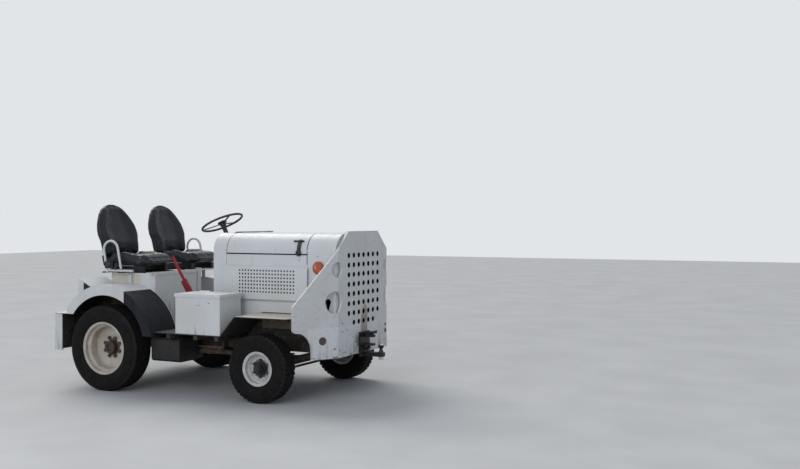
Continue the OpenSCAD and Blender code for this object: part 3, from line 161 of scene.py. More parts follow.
class Graph:
    """A material under construction: each method adds a node and gives its output."""

    def __init__(self, name):
        self.material = bpy.data.materials.new(name + "_finish")
        self.material.use_nodes = True
        self.tree = self.material.node_tree
        self.shader = self.tree.nodes["Principled BSDF"]
        own = self.add("ShaderNodeTexCoord").outputs
        self.place = own["Object"]
        self.x, self.y, self.z = self.add("ShaderNodeSeparateXYZ", [self.place]).outputs
        # How far the piece's own normal points ahead, left and up
        self.ahead, self.left, self.up = self.add("ShaderNodeSeparateXYZ", [own["Normal"]]).outputs

    def add(self, kind, inputs=(), **settings):
        node = self.tree.nodes.new(kind)
        assign(node, **settings)
        for socket, value in zip(node.inputs, inputs):
            self.put(socket, value)
        return node

    def put(self, socket, value):
        if isinstance(value, bpy.types.NodeSocket):
            self.tree.links.new(value, socket)
        elif hasattr(value, "__len__") and len(socket.default_value) == 4:
            socket.default_value = (*value[:3], 1)
        elif value is not None:
            socket.default_value = value

    def fill(self, node, **values):
        """Sets a node's sockets, named with _ for a space."""
        for key, value in values.items():
            self.put(node.inputs[key.replace("_", " ")], value)
        return node.outputs[0]

    def set(self, **values):
        self.fill(self.shader, **values)
        return self.material

    def math(self, operation, a, b=None, c=None):
        return self.add("ShaderNodeMath", [a, b, c], operation=operation).outputs[0]

    def abs(self, value):
        return self.math("ABSOLUTE", value)

    def times(self, first, *others):
        product = first
        for other in others:
            product = self.math("MULTIPLY", product, other)
        return product

    def times_plus(self, a, b, c):
        return self.math("MULTIPLY_ADD", a, b, c)

    def vector(self, operation, *inputs):
        return self.add("ShaderNodeVectorMath", inputs, operation=operation).outputs

    def scaled(self, scale, vector=None):
        return self.vector("MULTIPLY", self.place if vector is None else vector, scale)[0]

    def distance(self, centre, scale=(1, 0, 1)):
        """Distance from centre, with each axis counted scale times."""
        moved = self.vector("SUBTRACT", self.place, centre)[0]
        return self.vector("LENGTH", self.scaled(scale, moved))["Value"]

    def noise(self, scale, detail=4, rough=0.55, vector=None):
        return self.fill(self.add("ShaderNodeTexNoise"), Scale=scale, Detail=detail,
                         Roughness=rough, Vector=self.place if vector is None else vector)

    def ramp(self, value, low, high, to_low=0.0, to_high=1.0):
        inputs = [value, low, high, to_low, to_high]
        return self.add("ShaderNodeMapRange", inputs, interpolation_type="SMOOTHSTEP").outputs[0]

    def patches(self, scale, detail, low, high, rough=0.55):
        """Cloudy patches: 0 where the noise is below low, 1 where it is above high."""
        return self.ramp(self.noise(scale, detail, rough), low, high)

    def mix(self, factor, a, b):
        node = self.add("ShaderNodeMix", data_type="RGBA")
        for index, value in ((0, factor), (6, a), (7, b)):
            self.put(node.inputs[index], value)
        return node.outputs[2]

    def blob(self, centre, size, edge=0.35):
        """1 inside an ellipsoid at centre with half sizes size, fading to 0 at its edge."""
        return self.ramp(self.distance(centre, [1 / s for s in size]), 1.0, 1.0 - edge)

    def edges(self, radius):
        """1 near sharp edges, found by comparing the rounded normal with the true one."""
        bevel = self.fill(self.add("ShaderNodeBevel", samples=4), Radius=radius)
        normal = self.add("ShaderNodeNewGeometry").outputs["Normal"]
        return self.ramp(self.vector("DOT_PRODUCT", bevel, normal)["Value"], 0.995, 0.86)

    def within(self, value, low, high, soft=0.001):
        """1 where value lies between low and high."""
        return self.times(self.ramp(value, low - soft, low), self.ramp(value, high + soft, high))

    def bump(self, height, distance, strength=1.0, normal=None):
        return self.fill(self.add("ShaderNodeBump"), Height=height, Distance=distance,
                         Strength=strength, Normal=normal)


WHITE = (0.66, 0.675, 0.69)
WHITE_WARM = (0.60, 0.60, 0.58)
GRIME = (0.16, 0.13, 0.10)
# Painted shade for the walls inside holes
HOLE_SHADE = (0.010, 0.010, 0.012)
OLD_BLACK = (0.014, 0.014, 0.015)
RUST = (0.17, 0.065, 0.025)
PRIMER = (0.20, 0.20, 0.20)
DUST = (0.30, 0.26, 0.21)


def white_paint(name, low_z=0.5, wear=1.0, marks=(), dull=None):
    """Old white enamel: faint tone changes, runs of grime, chips at the edges.

    Each function (graph, color) in marks adds a piece's own marks, and dull(graph) masks a
    part without gloss. Grime thickens below low_z.
    """
    g = Graph(name)
    color = g.mix(g.patches(2.2, 3, 0.3, 0.7), WHITE, WHITE_WARM)
    streaks = g.noise(1.0, 5, 0.6, g.scaled((26, 26, 2.6)))
    low = g.ramp(g.z, low_z + 0.22, low_z - 0.05)
    soiled = g.times_plus(low, 0.22, streaks)
    color = g.mix(g.times(g.ramp(soiled, 0.60, 0.86), 0.55 * wear), color, GRIME)
    chips = g.ramp(g.times_plus(g.edges(0.004), 0.17 * wear, g.noise(95, 3, 0.7)), 0.735, 0.765)
    color = g.mix(chips, color, g.mix(g.patches(30, 4, 0.4, 0.6), PRIMER, RUST))
    for mark in marks:
        color = mark(g, color)
    rough = g.times_plus(g.ramp(streaks, 0.4, 0.8), 0.22, 0.30)
    waves, peel = g.noise(5, 2), g.noise(420, 2)
    normal = g.bump(g.times_plus(waves, 6.0, peel), 0.0006, 0.25)
    normal = g.bump(chips, 0.0004, -0.6, normal)
    coat = 0.06
    if dull:
        mask = dull(g)
        coat = g.times_plus(mask, -coat, coat)
        rough = g.times_plus(mask, 0.4, rough)
    return g.set(Base_Color=color, Roughness=rough, Normal=normal, Coat_Weight=coat,
                 Coat_Roughness=0.25, Specular_IOR_Level=0.3)


def plate_marks(g, color):
    """The push plate's repainted lower field, rust run, scuffs and bolt stains, a light painted shade
    over the whole plate, and painted shade in its holes.
    """
    repaint = g.times(g.ramp(g.z, 0.642, 0.634), g.ramp(g.y, -0.70, -0.68), g.ramp(g.y, 0.27, 0.25))
    color = g.mix(g.times(repaint, 0.55), color, (0.74, 0.75, 0.77))
    ragged = g.noise(20, 6, 0.65, g.scaled((1, 1, 0.22)))
    run = g.times(g.blob((PLATE_X, 0.02, 0.62), (0.2, 0.10, 0.24), 0.95), g.ramp(ragged, 0.25, 0.60))
    color = g.mix(g.times(g.ramp(run, 0.03, 0.36), 0.80), color, (0.25, 0.15, 0.085))
    soot = g.times(g.blob((PLATE_X, -0.10, 0.46), (0.2, 0.13, 0.14), 0.8), g.patches(22, 5, 0.36, 0.56))
    color = g.mix(g.times(soot, 0.8), color, (0.05, 0.04, 0.035))
    low = g.ramp(g.z, 0.50, 0.38)
    rub = g.ramp(g.noise(1.0, 6, 0.65, g.scaled((18, 18, 30))), 0.53, 0.66)
    color = g.mix(g.times(rub, g.times_plus(low, 0.8, 0.16)), color, (0.09, 0.075, 0.06))
    for y, z, size in ((0.421, 0.528, 0.035), (0.421, 0.585, 0.018), (-0.578, 0.53, 0.034),
                       (-0.30, 0.60, 0.016), (-0.26, 0.555, 0.012), (-0.48, 0.455, 0.012)):
        stain = g.times(g.blob((1.35, y, z), (0.3, size, size), 0.6), g.patches(60, 4, 0.35, 0.6))
        color = g.mix(stain, color, RUST)
    # A little grey over the whole plate: painted shade for its shaded front face
    color = g.mix(0.12, color, (0.42, 0.41, 0.42))
    # Painted shade on the walls of the holes through the plate
    shaded_walls = g.times(g.ramp(g.abs(g.ahead), 0.5, 0.4), g.within(g.abs(g.y), -0.1, 0.36),
                    g.within(g.z, 0.60, 1.29))
    return g.mix(shaded_walls, color, HOLE_SHADE)


def mesh_walls(g, color):
    """Painted shade on the walls of the square holes in the side panels."""
    shaded_walls = g.times(g.ramp(g.abs(g.left), 0.6, 0.5), g.within(g.x, 0.385, 0.977),
                    g.within(g.z, 0.902, 1.112), g.ramp(g.abs(g.y), 0.455, 0.457))
    return g.mix(shaded_walls, color, HOLE_SHADE)


def hood_inside_dirt_and_shade(g, color):
    """Dark dusty tone on the faces that look into the hood: partly dirt, partly painted shade inside
    the hood.
    """
    upward = g.times(g.up, g.math("SUBTRACT", g.z, 1.0))
    inward = g.ramp(g.math("ADD", g.times(g.left, g.y), upward), -0.02, -0.05)
    rear = g.times(g.ramp(g.ahead, 0.6, 0.8), g.within(g.x, 0.09, 0.16))
    tone = g.mix(g.patches(7, 5, 0.3, 0.7), (0.06, 0.058, 0.056), (0.13, 0.12, 0.105))
    # Dirt and painted shade on the inner faces
    return g.mix(g.math("MAXIMUM", inward, rear), color, tone)


def belt_reel(g, color):
    """Black belt reel inside the rear leg of each armrest hoop."""
    lean = math.radians(11.5)
    dx, dz = g.math("SUBTRACT", g.x, -0.901), g.math("SUBTRACT", g.z, 1.073)
    along = g.times_plus(dx, math.cos(lean), g.times(dz, math.sin(lean)))
    along = g.math("ADD", along, 0.084)
    across = g.math("SUBTRACT", g.abs(g.y), 0.616)
    square = g.math("ADD", g.times(along, along), g.times(across, across))
    away = g.ramp(g.math("SQRT", square), 0.0113, 0.0118)
    reel = g.times(away, g.within(g.x, -0.995, -0.893), g.within(g.z, 1.0945, 1.160))
    return g.mix(reel, color, (0.012, 0.012, 0.014))


def black_posts(g, color):
    """Black posts beside the seat box. The brackets on the fenders stay white."""
    return g.mix(g.ramp(g.abs(g.y), 0.545, 0.544), color, OLD_BLACK)


def cream_bar(g, color):
    """Worn cream paint on the seat frame's front bar, black on the rest."""
    return g.mix(g.ramp(g.x, -0.518, -0.519), color, OLD_BLACK)


def box_painted_light(g, color):
    """Painted warm light on the back of the seat box, and a painted highlight along its upper rim."""
    # Painted warm light: cream toward the back of the box
    color = g.mix(g.ramp(g.x, -0.62, -0.68), color, (0.62, 0.58, 0.50))
    # Painted highlight: a lighter band along the upper rim
    return g.mix(g.ramp(g.z, 1.034, 1.040), color, (0.70, 0.68, 0.64))


def steel_shank(g):
    """Mask of the rubbed steel at the collar, top and nut of the ball."""
    level = g.math("MAXIMUM", g.ramp(g.z, 0.446, 0.450), g.ramp(g.z, 0.345, 0.343))
    return g.times(g.ramp(g.distance((BALL_X, 0, 0.40), (1, 1, 0)), 0.0275, 0.0270), level)


def dark_inside(g, color):
    """Dark mottled brown on the bumper's faces that look ahead, into its channel."""
    dark_mottle = g.mix(g.patches(8, 5, 0.35, 0.7), (0.05, 0.044, 0.038), (0.15, 0.125, 0.10))
    return g.mix(g.ramp(g.ahead, 0.5, 0.7), color, dark_mottle)


def anti_slip_part(g):
    front = g.ramp(g.x, ANTI_SLIP_X - 0.002, ANTI_SLIP_X + 0.002)
    return g.times(front, g.ramp(g.abs(g.y), 0.5465, 0.548))


def anti_slip(g, color):
    """The black anti-slip coat on the front part of each fender."""
    sand = g.mix(g.patches(160, 3, 0.3, 0.8), (0.007, 0.009, 0.013), (0.014, 0.017, 0.023))
    return g.mix(anti_slip_part(g), color, sand)


def dark_under(g, color):
    """Dark mottled brown on the faces that look down and on those inside the wheel houses."""
    house = g.times(g.ramp(g.distance((-0.768, 0, 0.412)), 0.5425, 0.5415),
                    g.ramp(g.abs(g.y), 0.8945, 0.8935), g.ramp(g.abs(g.y), 0.5415, 0.5425))
    mask = g.math("MAXIMUM", house, g.times(g.ramp(g.up, -0.15, -0.45), 0.8))
    dark_mottle = g.mix(g.patches(8, 5, 0.35, 0.7), (0.035, 0.03, 0.026), (0.12, 0.095, 0.07))
    return g.mix(mask, color, dark_mottle)


def dirty_metal(name, base, amount=0.6, rough=0.62, rust=0.0, bare=None):
    """Painted or cast metal under road dirt, with dust on top and rust where it is worn.

    bare(graph) masks a part that is rubbed to bright steel.
    """
    g = Graph(name)
    color = g.mix(g.patches(7, 5, 0.3, 0.75, 0.6), base, [c * 1.9 + 0.004 for c in base])
    if rust:
        color = g.mix(g.patches(18, 6, 0.60 - 0.2 * rust, 0.72, 0.65), color, RUST)
    settled = g.times_plus(g.ramp(g.up, 0.1, 0.95), 0.75, 0.25)
    settled = g.times(settled, g.patches(11, 6, 0.30, 0.75, 0.65))
    color = g.mix(g.times(settled, amount), color, DUST)
    bright = g.times(g.edges(0.003), g.patches(50, 4, 0.5, 0.65))
    color = g.mix(g.times(bright, 0.35), color, (0.24, 0.23, 0.22))
    roughness = g.ramp(g.noise(25, 4), 0.2, 0.8, rough - 0.12, rough + 0.2)
    normal = g.bump(g.noise(160, 5, 0.6), 0.0012, 0.5)
    metal = 0.0
    if bare:
        metal = bare(g)
        color = g.mix(metal, color, (0.55, 0.55, 0.56))
        roughness = g.times_plus(metal, -0.25, roughness)
    return g.set(Base_Color=color, Roughness=roughness, Metallic=metal, Normal=normal,
                 Specular_IOR_Level=0.35)


def board_finish():
    """Running boards: black low part, brown dusty slope, pale dusty shelf, and painted shade on the
    upright faces and those that look down.
    """
    g = Graph("running_board")
    patch = g.patches(6, 5, 0.3, 0.75, 0.6)
    low = g.mix(patch, (0.018, 0.020, 0.026), (0.05, 0.052, 0.06))
    slope = g.mix(patch, (0.13, 0.092, 0.062), (0.21, 0.16, 0.115))
    shelf = g.mix(patch, (0.46, 0.40, 0.33), (0.60, 0.56, 0.50))
    color = g.mix(g.ramp(g.x, 0.455, 0.475), low, slope)
    color = g.mix(g.ramp(g.x, 0.600, 0.616), color, shelf)
    # Painted shade on the upright faces and the faces that look down
    color = g.mix(g.ramp(g.abs(g.up), 0.30, 0.22), color, (0.018, 0.017, 0.016))
    color = g.mix(g.ramp(g.up, -0.2, -0.5), color, (0.022, 0.018, 0.015))
    return g.set(Base_Color=color, Roughness=0.7, Normal=g.bump(g.noise(120, 5, 0.6), 0.001, 0.5))


def tyre_rubber(name, centre):
    """Sooty rubber with road dust low in the tread and on the wall's ribs."""
    g = Graph(name)
    radius = centre[2]
    tone = g.patches(12, 5, 0.25, 0.8, 0.6)
    color = g.mix(tone, (0.0036, 0.0036, 0.0041), (0.0078, 0.0076, 0.0078))
    length = g.distance(centre)
    tread = g.times(g.ramp(length, radius - 0.001, radius - 0.008),
                    g.ramp(length, radius - 0.03, radius - 0.02))
    dust = g.times(g.patches(30, 5, 0.35, 0.75), 0.05)
    color = g.mix(g.times_plus(tread, 0.07, dust), color, (0.11, 0.095, 0.075))
    rough = g.ramp(g.noise(20, 4), 0.2, 0.8, 0.66, 0.86)
    return g.set(Base_Color=color, Roughness=rough, Normal=g.bump(g.noise(300, 4), 0.0006, 0.4),
                 Specular_IOR_Level=0.15)


def rim_finish(name, centre, nut_ring, nut_y, hub_color, paint, soil, hub_r=0.0565):
    """Cream rim enamel with rust chips, and a dark hub with rusty nuts."""
    g = Graph(name)
    color = g.mix(g.patches(5, 4, 0.3, 0.7), paint, [c * 0.82 for c in paint])
    length = g.distance(centre)
    brake_dust = g.times(g.patches(9, 6, 0.35, 0.7, 0.65), soil)
    color = g.mix(brake_dust, color, (0.20, 0.155, 0.115))
    chips = g.ramp(g.times_plus(g.edges(0.004), 0.17, g.noise(55, 5, 0.6)), 0.655, 0.69)
    color = g.mix(chips, color, (0.07, 0.035, 0.02))
    ragged = g.times_plus(g.noise(38, 5, 0.6), -0.045, length)
    grease = g.times(g.ramp(ragged, hub_r + 0.004, hub_r - 0.010), 0.9)
    color = g.mix(grease, color, (0.018, 0.014, 0.012))
    nut = g.times(g.ramp(length, nut_ring - 0.020, nut_ring - 0.018),
                  g.ramp(length, nut_ring + 0.020, nut_ring + 0.018),
                  g.ramp(g.abs(g.y), nut_y + 0.001, nut_y + 0.002))
    rusty = g.mix(g.patches(45, 5, 0.35, 0.65), (0.030, 0.019, 0.013), (0.10, 0.05, 0.028))
    color = g.mix(nut, color, rusty)
    hub = g.ramp(length, hub_r + 0.0015, hub_r + 0.0005)
    color = g.mix(hub, color, g.mix(g.patches(40, 5, 0.52, 0.75), hub_color, rusty))
    rough = g.ramp(g.noise(15, 4), 0.2, 0.8, 0.42, 0.7)
    return g.set(Base_Color=color, Roughness=rough, Normal=g.bump(g.noise(90, 4), 0.0008, 0.3))


def vinyl():
    """Black seat vinyl with a blue cast of painted sky reflection: fine pebble grain, upright streaks
    in its gloss, one small tear.
    """
    g = Graph("seat_vinyl")
    # Blue-black: the blue cast is painted sky reflection
    color = g.mix(g.patches(6, 4, 0.3, 0.75), (0.007, 0.009, 0.013), (0.013, 0.017, 0.024))
    dust = g.times(g.ramp(g.up, 0.3, 1.0), g.patches(9, 6, 0.45, 0.8), 0.05)
    color = g.mix(dust, color, (0.22, 0.21, 0.20))
    tear = g.blob((-0.65, -0.572, 1.205), (0.016, 0.03, 0.03), 0.4)
    color = g.mix(g.times(tear, g.patches(70, 3, 0.36, 0.46)), color, (0.30, 0.19, 0.06))
    grain = g.fill(g.add("ShaderNodeTexVoronoi", feature="DISTANCE_TO_EDGE"), Vector=g.place,
                   Scale=420)
    creases = g.noise(1.0, 6, 0.6, g.scaled((9, 26, 14)))
    height = g.times_plus(creases, 2.5, g.ramp(grain, 0.0, 0.15))
    streaks = g.noise(1.0, 4, 0.55, g.scaled((20, 34, 3.2)))
    rough = g.times_plus(g.ramp(streaks, 0.3, 0.7), 0.22, 0.24)
    return g.set(Base_Color=color, Roughness=rough, Normal=g.bump(height, 0.0005, 0.35),
                 Sheen_Weight=0.03, Specular_IOR_Level=0.30)


def welt_vinyl():
    """The same vinyl drawn over the piping cord, rubbed dull."""
    g = Graph("seat_welt")
    # Blue-black: the blue cast is painted sky reflection
    color = g.mix(g.patches(30, 4, 0.3, 0.75), (0.009, 0.011, 0.015), (0.020, 0.023, 0.028))
    return g.set(Base_Color=color, Roughness=0.62, Normal=g.bump(g.noise(200, 3), 0.0004, 0.3),
                 Specular_IOR_Level=0.3)


def lens(name, color, deep, painted_glint=None):
    """A moulded lamp lens with fine ribs behind a smooth face, painted shade toward its rim and, if
    given, a painted highlight.
    """
    g = Graph(name)
    ribs = g.math("SINE", g.times(g.z, 900))
    tone = g.mix(g.ramp(ribs, -1, 1), color, deep)
    # Painted shade: the lens darkens where its face turns away from its axis
    face = g.math("MAXIMUM", g.abs(g.ahead), g.abs(g.left))
    tone = g.mix(g.ramp(face, 0.97, 0.75), tone, [c * 0.45 for c in deep])
    # A painted highlight: a pale spot on the lens where a glint would fall
    if painted_glint:
        x, z, size = painted_glint
        length = g.distance((x, 0, z), (1 / size, 0, 0.45 / size))
        tone = g.mix(g.times(g.ramp(length, 1.0, 0.2), 0.6), tone, (0.80, 0.50, 0.34))
    return g.set(Base_Color=tone, Roughness=0.12, Normal=g.bump(ribs, 0.0003, 0.3),
                 Coat_Weight=1.0, Coat_Roughness=0.04, Emission_Color=color,
                 Emission_Strength=0.03)


def plastic(name, base, rough=0.42, grain=260):
    g = Graph(name)
    color = g.mix(g.patches(10, 4, 0.3, 0.75), base, [c * 1.6 + 0.004 for c in base])
    color = g.mix(g.times(g.patches(28, 5, 0.5, 0.75), 0.2), color, DUST)
    roughness = g.ramp(g.noise(18, 3), 0.2, 0.8, rough - 0.08, rough + 0.15)
    return g.set(Base_Color=color, Roughness=roughness, Normal=g.bump(g.noise(grain, 3), 0.0005, 0.35))


def radiator_core():
    """Grey radiator: fine upright fins crossed by flat tubes, with painted shade in the grooves between
    them.
    """
    g = Graph("radiator")
    fins = g.math("SINE", g.times(g.z, 1500))
    tubes = g.math("SINE", g.times(g.y, 520))
    depth = g.math("ADD", g.ramp(fins, -0.4, 0.6), g.ramp(tubes, -0.2, 0.5))
    # Painted shade: darker in the grooves between fins and tubes
    color = g.mix(g.ramp(depth, 0.2, 1.8), (0.012, 0.012, 0.013), (0.075, 0.075, 0.078))
    color = g.mix(g.times(g.patches(9, 5, 0.4, 0.7), 0.5), color, (0.10, 0.085, 0.065))
    return g.set(Base_Color=color, Roughness=0.6, Normal=g.bump(depth, 0.002, 0.7), Metallic=0.2)


def plain_floor():
    g = Graph("floor")
    color = g.mix(g.patches(1.2, 4, 0.3, 0.7), (0.47, 0.47, 0.47), (0.52, 0.52, 0.515))
    return g.set(Base_Color=color, Roughness=0.85)


MATERIALS = {
    "white": white_paint("white_paint"),
    "hood": white_paint("hood", marks=[mesh_walls, hood_inside_dirt_and_shade]),
    "armrest": white_paint("armrest", 0.2, 1.2, [belt_reel]),
    "posts": white_paint("post", 0.2, 1.0, [black_posts]),
    "seat_frame": white_paint("seat_frame", 0.2, 1.3, [cream_bar]),
    "seat_box": white_paint("seat_box", 0.65, 1.2, [box_painted_light]),
    "bolt": dirty_metal("bolt", (0.05, 0.045, 0.042), 0.2, 0.5, 0.6),
    "marks": plastic("dial_mark", (0.60, 0.60, 0.57)),
    "plate": white_paint("push_plate", 0.40, 1.3, [plate_marks]),
    "fender": white_paint("fender", 0.45, 1.0, [anti_slip, dark_under], anti_slip_part),
    "bumper": white_paint("bumper", 0.38, 1.2, [dark_inside]),
    "chassis": dirty_metal("chassis", (0.013, 0.012, 0.011), 0.35, rust=0.4),
    "axle": dirty_metal("axle", (0.019, 0.016, 0.013), 0.45, rust=0.6),
    "engine": dirty_metal("engine", (0.055, 0.065, 0.075), 0.5),
    "black": dirty_metal("black_paint", (0.010, 0.010, 0.011), 0.18, 0.5),
    "hitch": dirty_metal("hitch", (0.005, 0.005, 0.0055), 0.05, 0.42, 0.25, steel_shank),
    "deck": dirty_metal("deck", (0.05, 0.05, 0.052), 0.8),
    "board": board_finish(),
    "radiator": radiator_core(),
    "vinyl": vinyl(),
    "welt": welt_vinyl(),
    "amber": lens("amber_lens", (0.60, 0.085, 0.008), (0.38, 0.045, 0.005), LAMP_PAINTED_GLINT),
    "red_lens": lens("red_lens", (0.42, 0.012, 0.012), (0.25, 0.006, 0.006)),
    "red": dirty_metal("lever", (0.19, 0.008, 0.016), 0.12, 0.4),
    "rubber": plastic("latch_rubber", (0.010, 0.010, 0.010), 0.6),
    "hand_wheel": plastic("hand_wheel", (0.010, 0.010, 0.011), 0.36),
    "front_tyre": tyre_rubber("front_tyre", FRONT_WHEEL),
    "rear_tyre": tyre_rubber("rear_tyre", REAR_WHEEL),
    "front_rim": rim_finish("front_rim", FRONT_WHEEL, 0.073, 0.7305, (0.010, 0.010, 0.010),
                            (0.62, 0.62, 0.61), 0.35),
    "rear_rim": rim_finish("rear_rim", REAR_WHEEL, 0.0875, 0.7475, (0.045, 0.032, 0.024),
                           (0.60, 0.54, 0.47), 0.42),
    "sill": dirty_metal("sill", (0.10, 0.082, 0.062), 0.8, rust=0.3),
    "exhaust": dirty_metal("exhaust", (0.045, 0.028, 0.018), 0.45, rust=0.9),
    "flap": plastic("flap_rubber", (0.012, 0.012, 0.012), 0.7, 90),
}

# Each finish and the nodes of the frame that wear it
NODE_FINISH = {
    "chassis": "frame_rails cross_members",
    "axle": "spring_brackets spring_clamps driveline front_axle leaf_springs rear_axle "
            "knuckle_right knuckle_left tie_rod",
    "hood": "front_cowl hood_sides dash_cowl hood_lid",
    "white": "toolbox toolbox_lid",
    "vinyl": "seat_cushion_right seat_cushion_left seat_back_right seat_back_left",
    "black": "steering_column pedals fuel_tank",
    "hand_wheel": "instruments steering_wheel",
    "hitch": "rear_hitch front_hitch",
    "front_rim": "rim_front_right rim_front_left",
    "rear_rim": "rim_rear_right rim_rear_left",
    "front_tyre": "tyre_front_right tyre_front_left",
    "rear_tyre": "tyre_rear_right tyre_rear_left",
    "armrest": "armrests", "board": "running_boards", "bumper": "rear_bumper",
    "deck": "floor_plates", "engine": "engine_block", "exhaust": "exhaust",
    "fender": "fenders", "flap": "mud_flaps", "amber": "side_lamps", "plate": "front_plate",
    "posts": "seat_posts", "radiator": "radiator", "red": "brake_lever",
    "red_lens": "tail_lamps", "rubber": "hood_latches", "seat_box": "seat_box",
    "seat_frame": "seat_frame", "sill": "side_sills",
}


def finish_nodes():
    for finish, names in NODE_FINISH.items():
        for name in names.split():
            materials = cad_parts[name].data.materials
            materials.clear()
            materials.append(MATERIALS[finish])


# Mesh helpers

def new_mesh(name, verts, faces):
    mesh = bpy.data.meshes.new(name)
    mesh.from_pydata([tuple(v) for v in verts], [], faces)
    mesh.update()
    return mesh


def new_piece(name, mesh, body, finish):
    obj = link(name, mesh)
    obj.data.materials.append(MATERIALS[finish])
    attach(obj, body)
    return obj


def ring(centre, side, other, radius, sides):
    """Points of a circle round centre, in the plane of side and other."""
    turns = [2 * math.pi * k / sides for k in range(sides)]
    return [centre + (side * math.cos(a) + other * math.sin(a)) * radius for a in turns]


def ring_faces(first, rings, sides):
    """Faces over rings of points from index first on, closed at both ends."""
    last = first + (rings - 1) * sides
    faces = []
    for a in range(first, last, sides):
        for k in range(sides):
            k2 = (k + 1) % sides
            faces.append((a + k, a + k2, a + sides + k2, a + sides + k))
    faces.append(tuple(range(first + sides - 1, first - 1, -1)))
    faces.append(tuple(range(last, last + sides)))
    return faces


def shade_smooth(mesh, angle=35):
    mesh.polygons.foreach_set("use_smooth", [True] * len(mesh.polygons))
    mesh.set_sharp_from_angle(angle=math.radians(angle))


# Tyres

# The side wall from the rim flange to the shoulder: parts of the wall's height and of the
# tyre's width
SIDE_WALL = (
    (0.25, 0.462), (0.30, 0.474), (0.33, 0.481), (0.42, 0.492), (0.52, 0.500), (0.62, 0.498),
    (0.70, 0.490), (0.72, 0.494), (0.74, 0.494), (0.76, 0.484), (0.84, 0.468), (0.91, 0.448),
)


def tyre_profile(radius, width, lip_r, rim_half, tread_half):
    """Section points [radius, offset] from the outer bead over the tread to the inner one."""
    bead_r = lip_r - 0.0155
    wall = radius - bead_r
    outer = [
        (bead_r, rim_half - 0.0110), (lip_r + 0.001, rim_half - 0.006),
        (lip_r + 0.001, rim_half + 0.002), (lip_r + 0.004, rim_half + 0.0035),
        *((bead_r + high * wall, wide * width) for high, wide in SIDE_WALL),
        (radius - 0.045 * wall, 0.415 * width), (radius - 0.012 * wall, tread_half + 0.006),
    ]
    count = round(2 * tread_half / 0.003)
    tread = [(radius, tread_half - 2 * tread_half * i / count) for i in range(count + 1)]
    inner = [(r, -y) for r, y in reversed(outer)]
    return np.array(outer + tread + inner)


def turned_mesh(name, points, centre, mirrored):
    """A mesh from points[angle, section] = [radius, offset], closed both ways round."""
    turns, section = points.shape[:2]
    angle = np.arange(turns) * 2 * math.pi / turns
    r, y = points[..., 0], points[..., 1]
    x = centre[0] + r * np.cos(angle)[:, None]
    z = centre[2] + r * np.sin(angle)[:, None]
    side = -1 if mirrored else 1
    verts = np.stack([x, side * (centre[1] + y), z], axis=-1).reshape(-1, 3)
    i, j = np.meshgrid(np.arange(turns), np.arange(section), indexing="ij")
    i2, j2 = (i + 1) % turns, (j + 1) % section
    quads = [i * section + j, i * section + j2, i2 * section + j2, i2 * section + j]
    if mirrored:
        quads = quads[::-1]
    faces = np.stack(quads, axis=-1).reshape(-1, 4)
    return new_mesh(name, verts.tolist(), faces.tolist())


def saw(value):
    """A triangle wave from -1 to 1 with period 1."""
    return 4 * np.abs((value % 1) - 0.5) - 1


def ribbed_tyre(name, centre, mirrored):
    """Rear tyre: four zigzag grooves between ribs, with short sipes at the shoulders."""
    radius, width, half = centre[2], 0.228, 0.086
    turns, zigzags, depth = 432, 54, 0.011
    section = tyre_profile(radius, width, lip_r=0.238, rim_half=0.098, tread_half=half)
    points = np.repeat(section[None], turns, axis=0)
    phase = np.arange(turns)[:, None] / turns * zigzags
    offset = points[..., 1] + 0.004 * saw(phase)
    tread = (np.abs(section[:, 1]) < half + 0.0002) & (section[:, 0] > radius - 0.001)
    cut = np.zeros(points.shape[:2])
    for groove in (-0.054, -0.018, 0.018, 0.054):
        cut = np.maximum(cut, np.clip((0.0060 - np.abs(offset - groove)) / 0.0014, 0, 1))
    shoulder = (np.abs(points[..., 1]) > 0.066) & ((phase * 2 % 1) < 0.25)
    cut = np.maximum(cut, 0.45 * shoulder)
    crown = 0.1 * points[..., 1] ** 2
    points[..., 0] -= (depth * cut + crown) * tread
    return turned_mesh(name, points, centre, mirrored)


def lugged_tyre(name, centre, mirrored):
    """Front tyre: chunky shoulder lugs divided by notches, round a zigzag middle rib."""
    radius, width = centre[2], 0.172
    lugs, samples, depth = 44, 10, 0.010
    turns = lugs * samples
    section = tyre_profile(radius, width, lip_r=0.147, rim_half=0.070, tread_half=0.062)
    points = np.repeat(section[None], turns, axis=0)
    step = np.arange(turns)[:, None] % samples
    phase = np.arange(turns)[:, None] / samples
    shifted = (step + np.where(points[..., 1] > 0, 0, samples // 2)) % samples
    notch = (shifted < 4) * np.where((shifted == 0) | (shifted == 3), 0.25, 1.0)
    reach = np.abs(points[..., 1])
    cut = notch * ((reach > 0.030) & (points[..., 0] > radius - 0.034))
    groove = np.clip((0.0045 - np.abs(reach - 0.020 - 0.004 * saw(phase))) / 0.0014, 0, 1)
    cut = np.maximum(cut, groove * (points[..., 0] > radius - 0.001))
    points[..., 0] -= depth * cut
    return turned_mesh(name, points, centre, mirrored)


def make_tyres():
    for place, maker, centre in (
        ("front", lugged_tyre, FRONT_WHEEL), ("rear", ribbed_tyre, REAR_WHEEL)
    ):
        for side in ("right", "left"):
            wheel = f"{place}_{side}"
            mesh = maker(f"tread_{wheel}", centre, side == "right")
            shade_smooth(mesh, 32)
            obj = new_piece(mesh.name, mesh, f"wheel_{wheel}", f"{place}_tyre")
            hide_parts(f"tyre_{wheel}")


# Seats

SEAT_Y = 0.36
BACK_LOW, BACK_TOP, BACK_FRONT = 1.2125, 1.689, -0.9885
BACK_RISE = 0.483
TAIL_LOW, TAIL_FRONT, TAIL_REAR = 1.110, -1.0835, -1.102
BACK_LEAN = math.tan(math.radians(19))
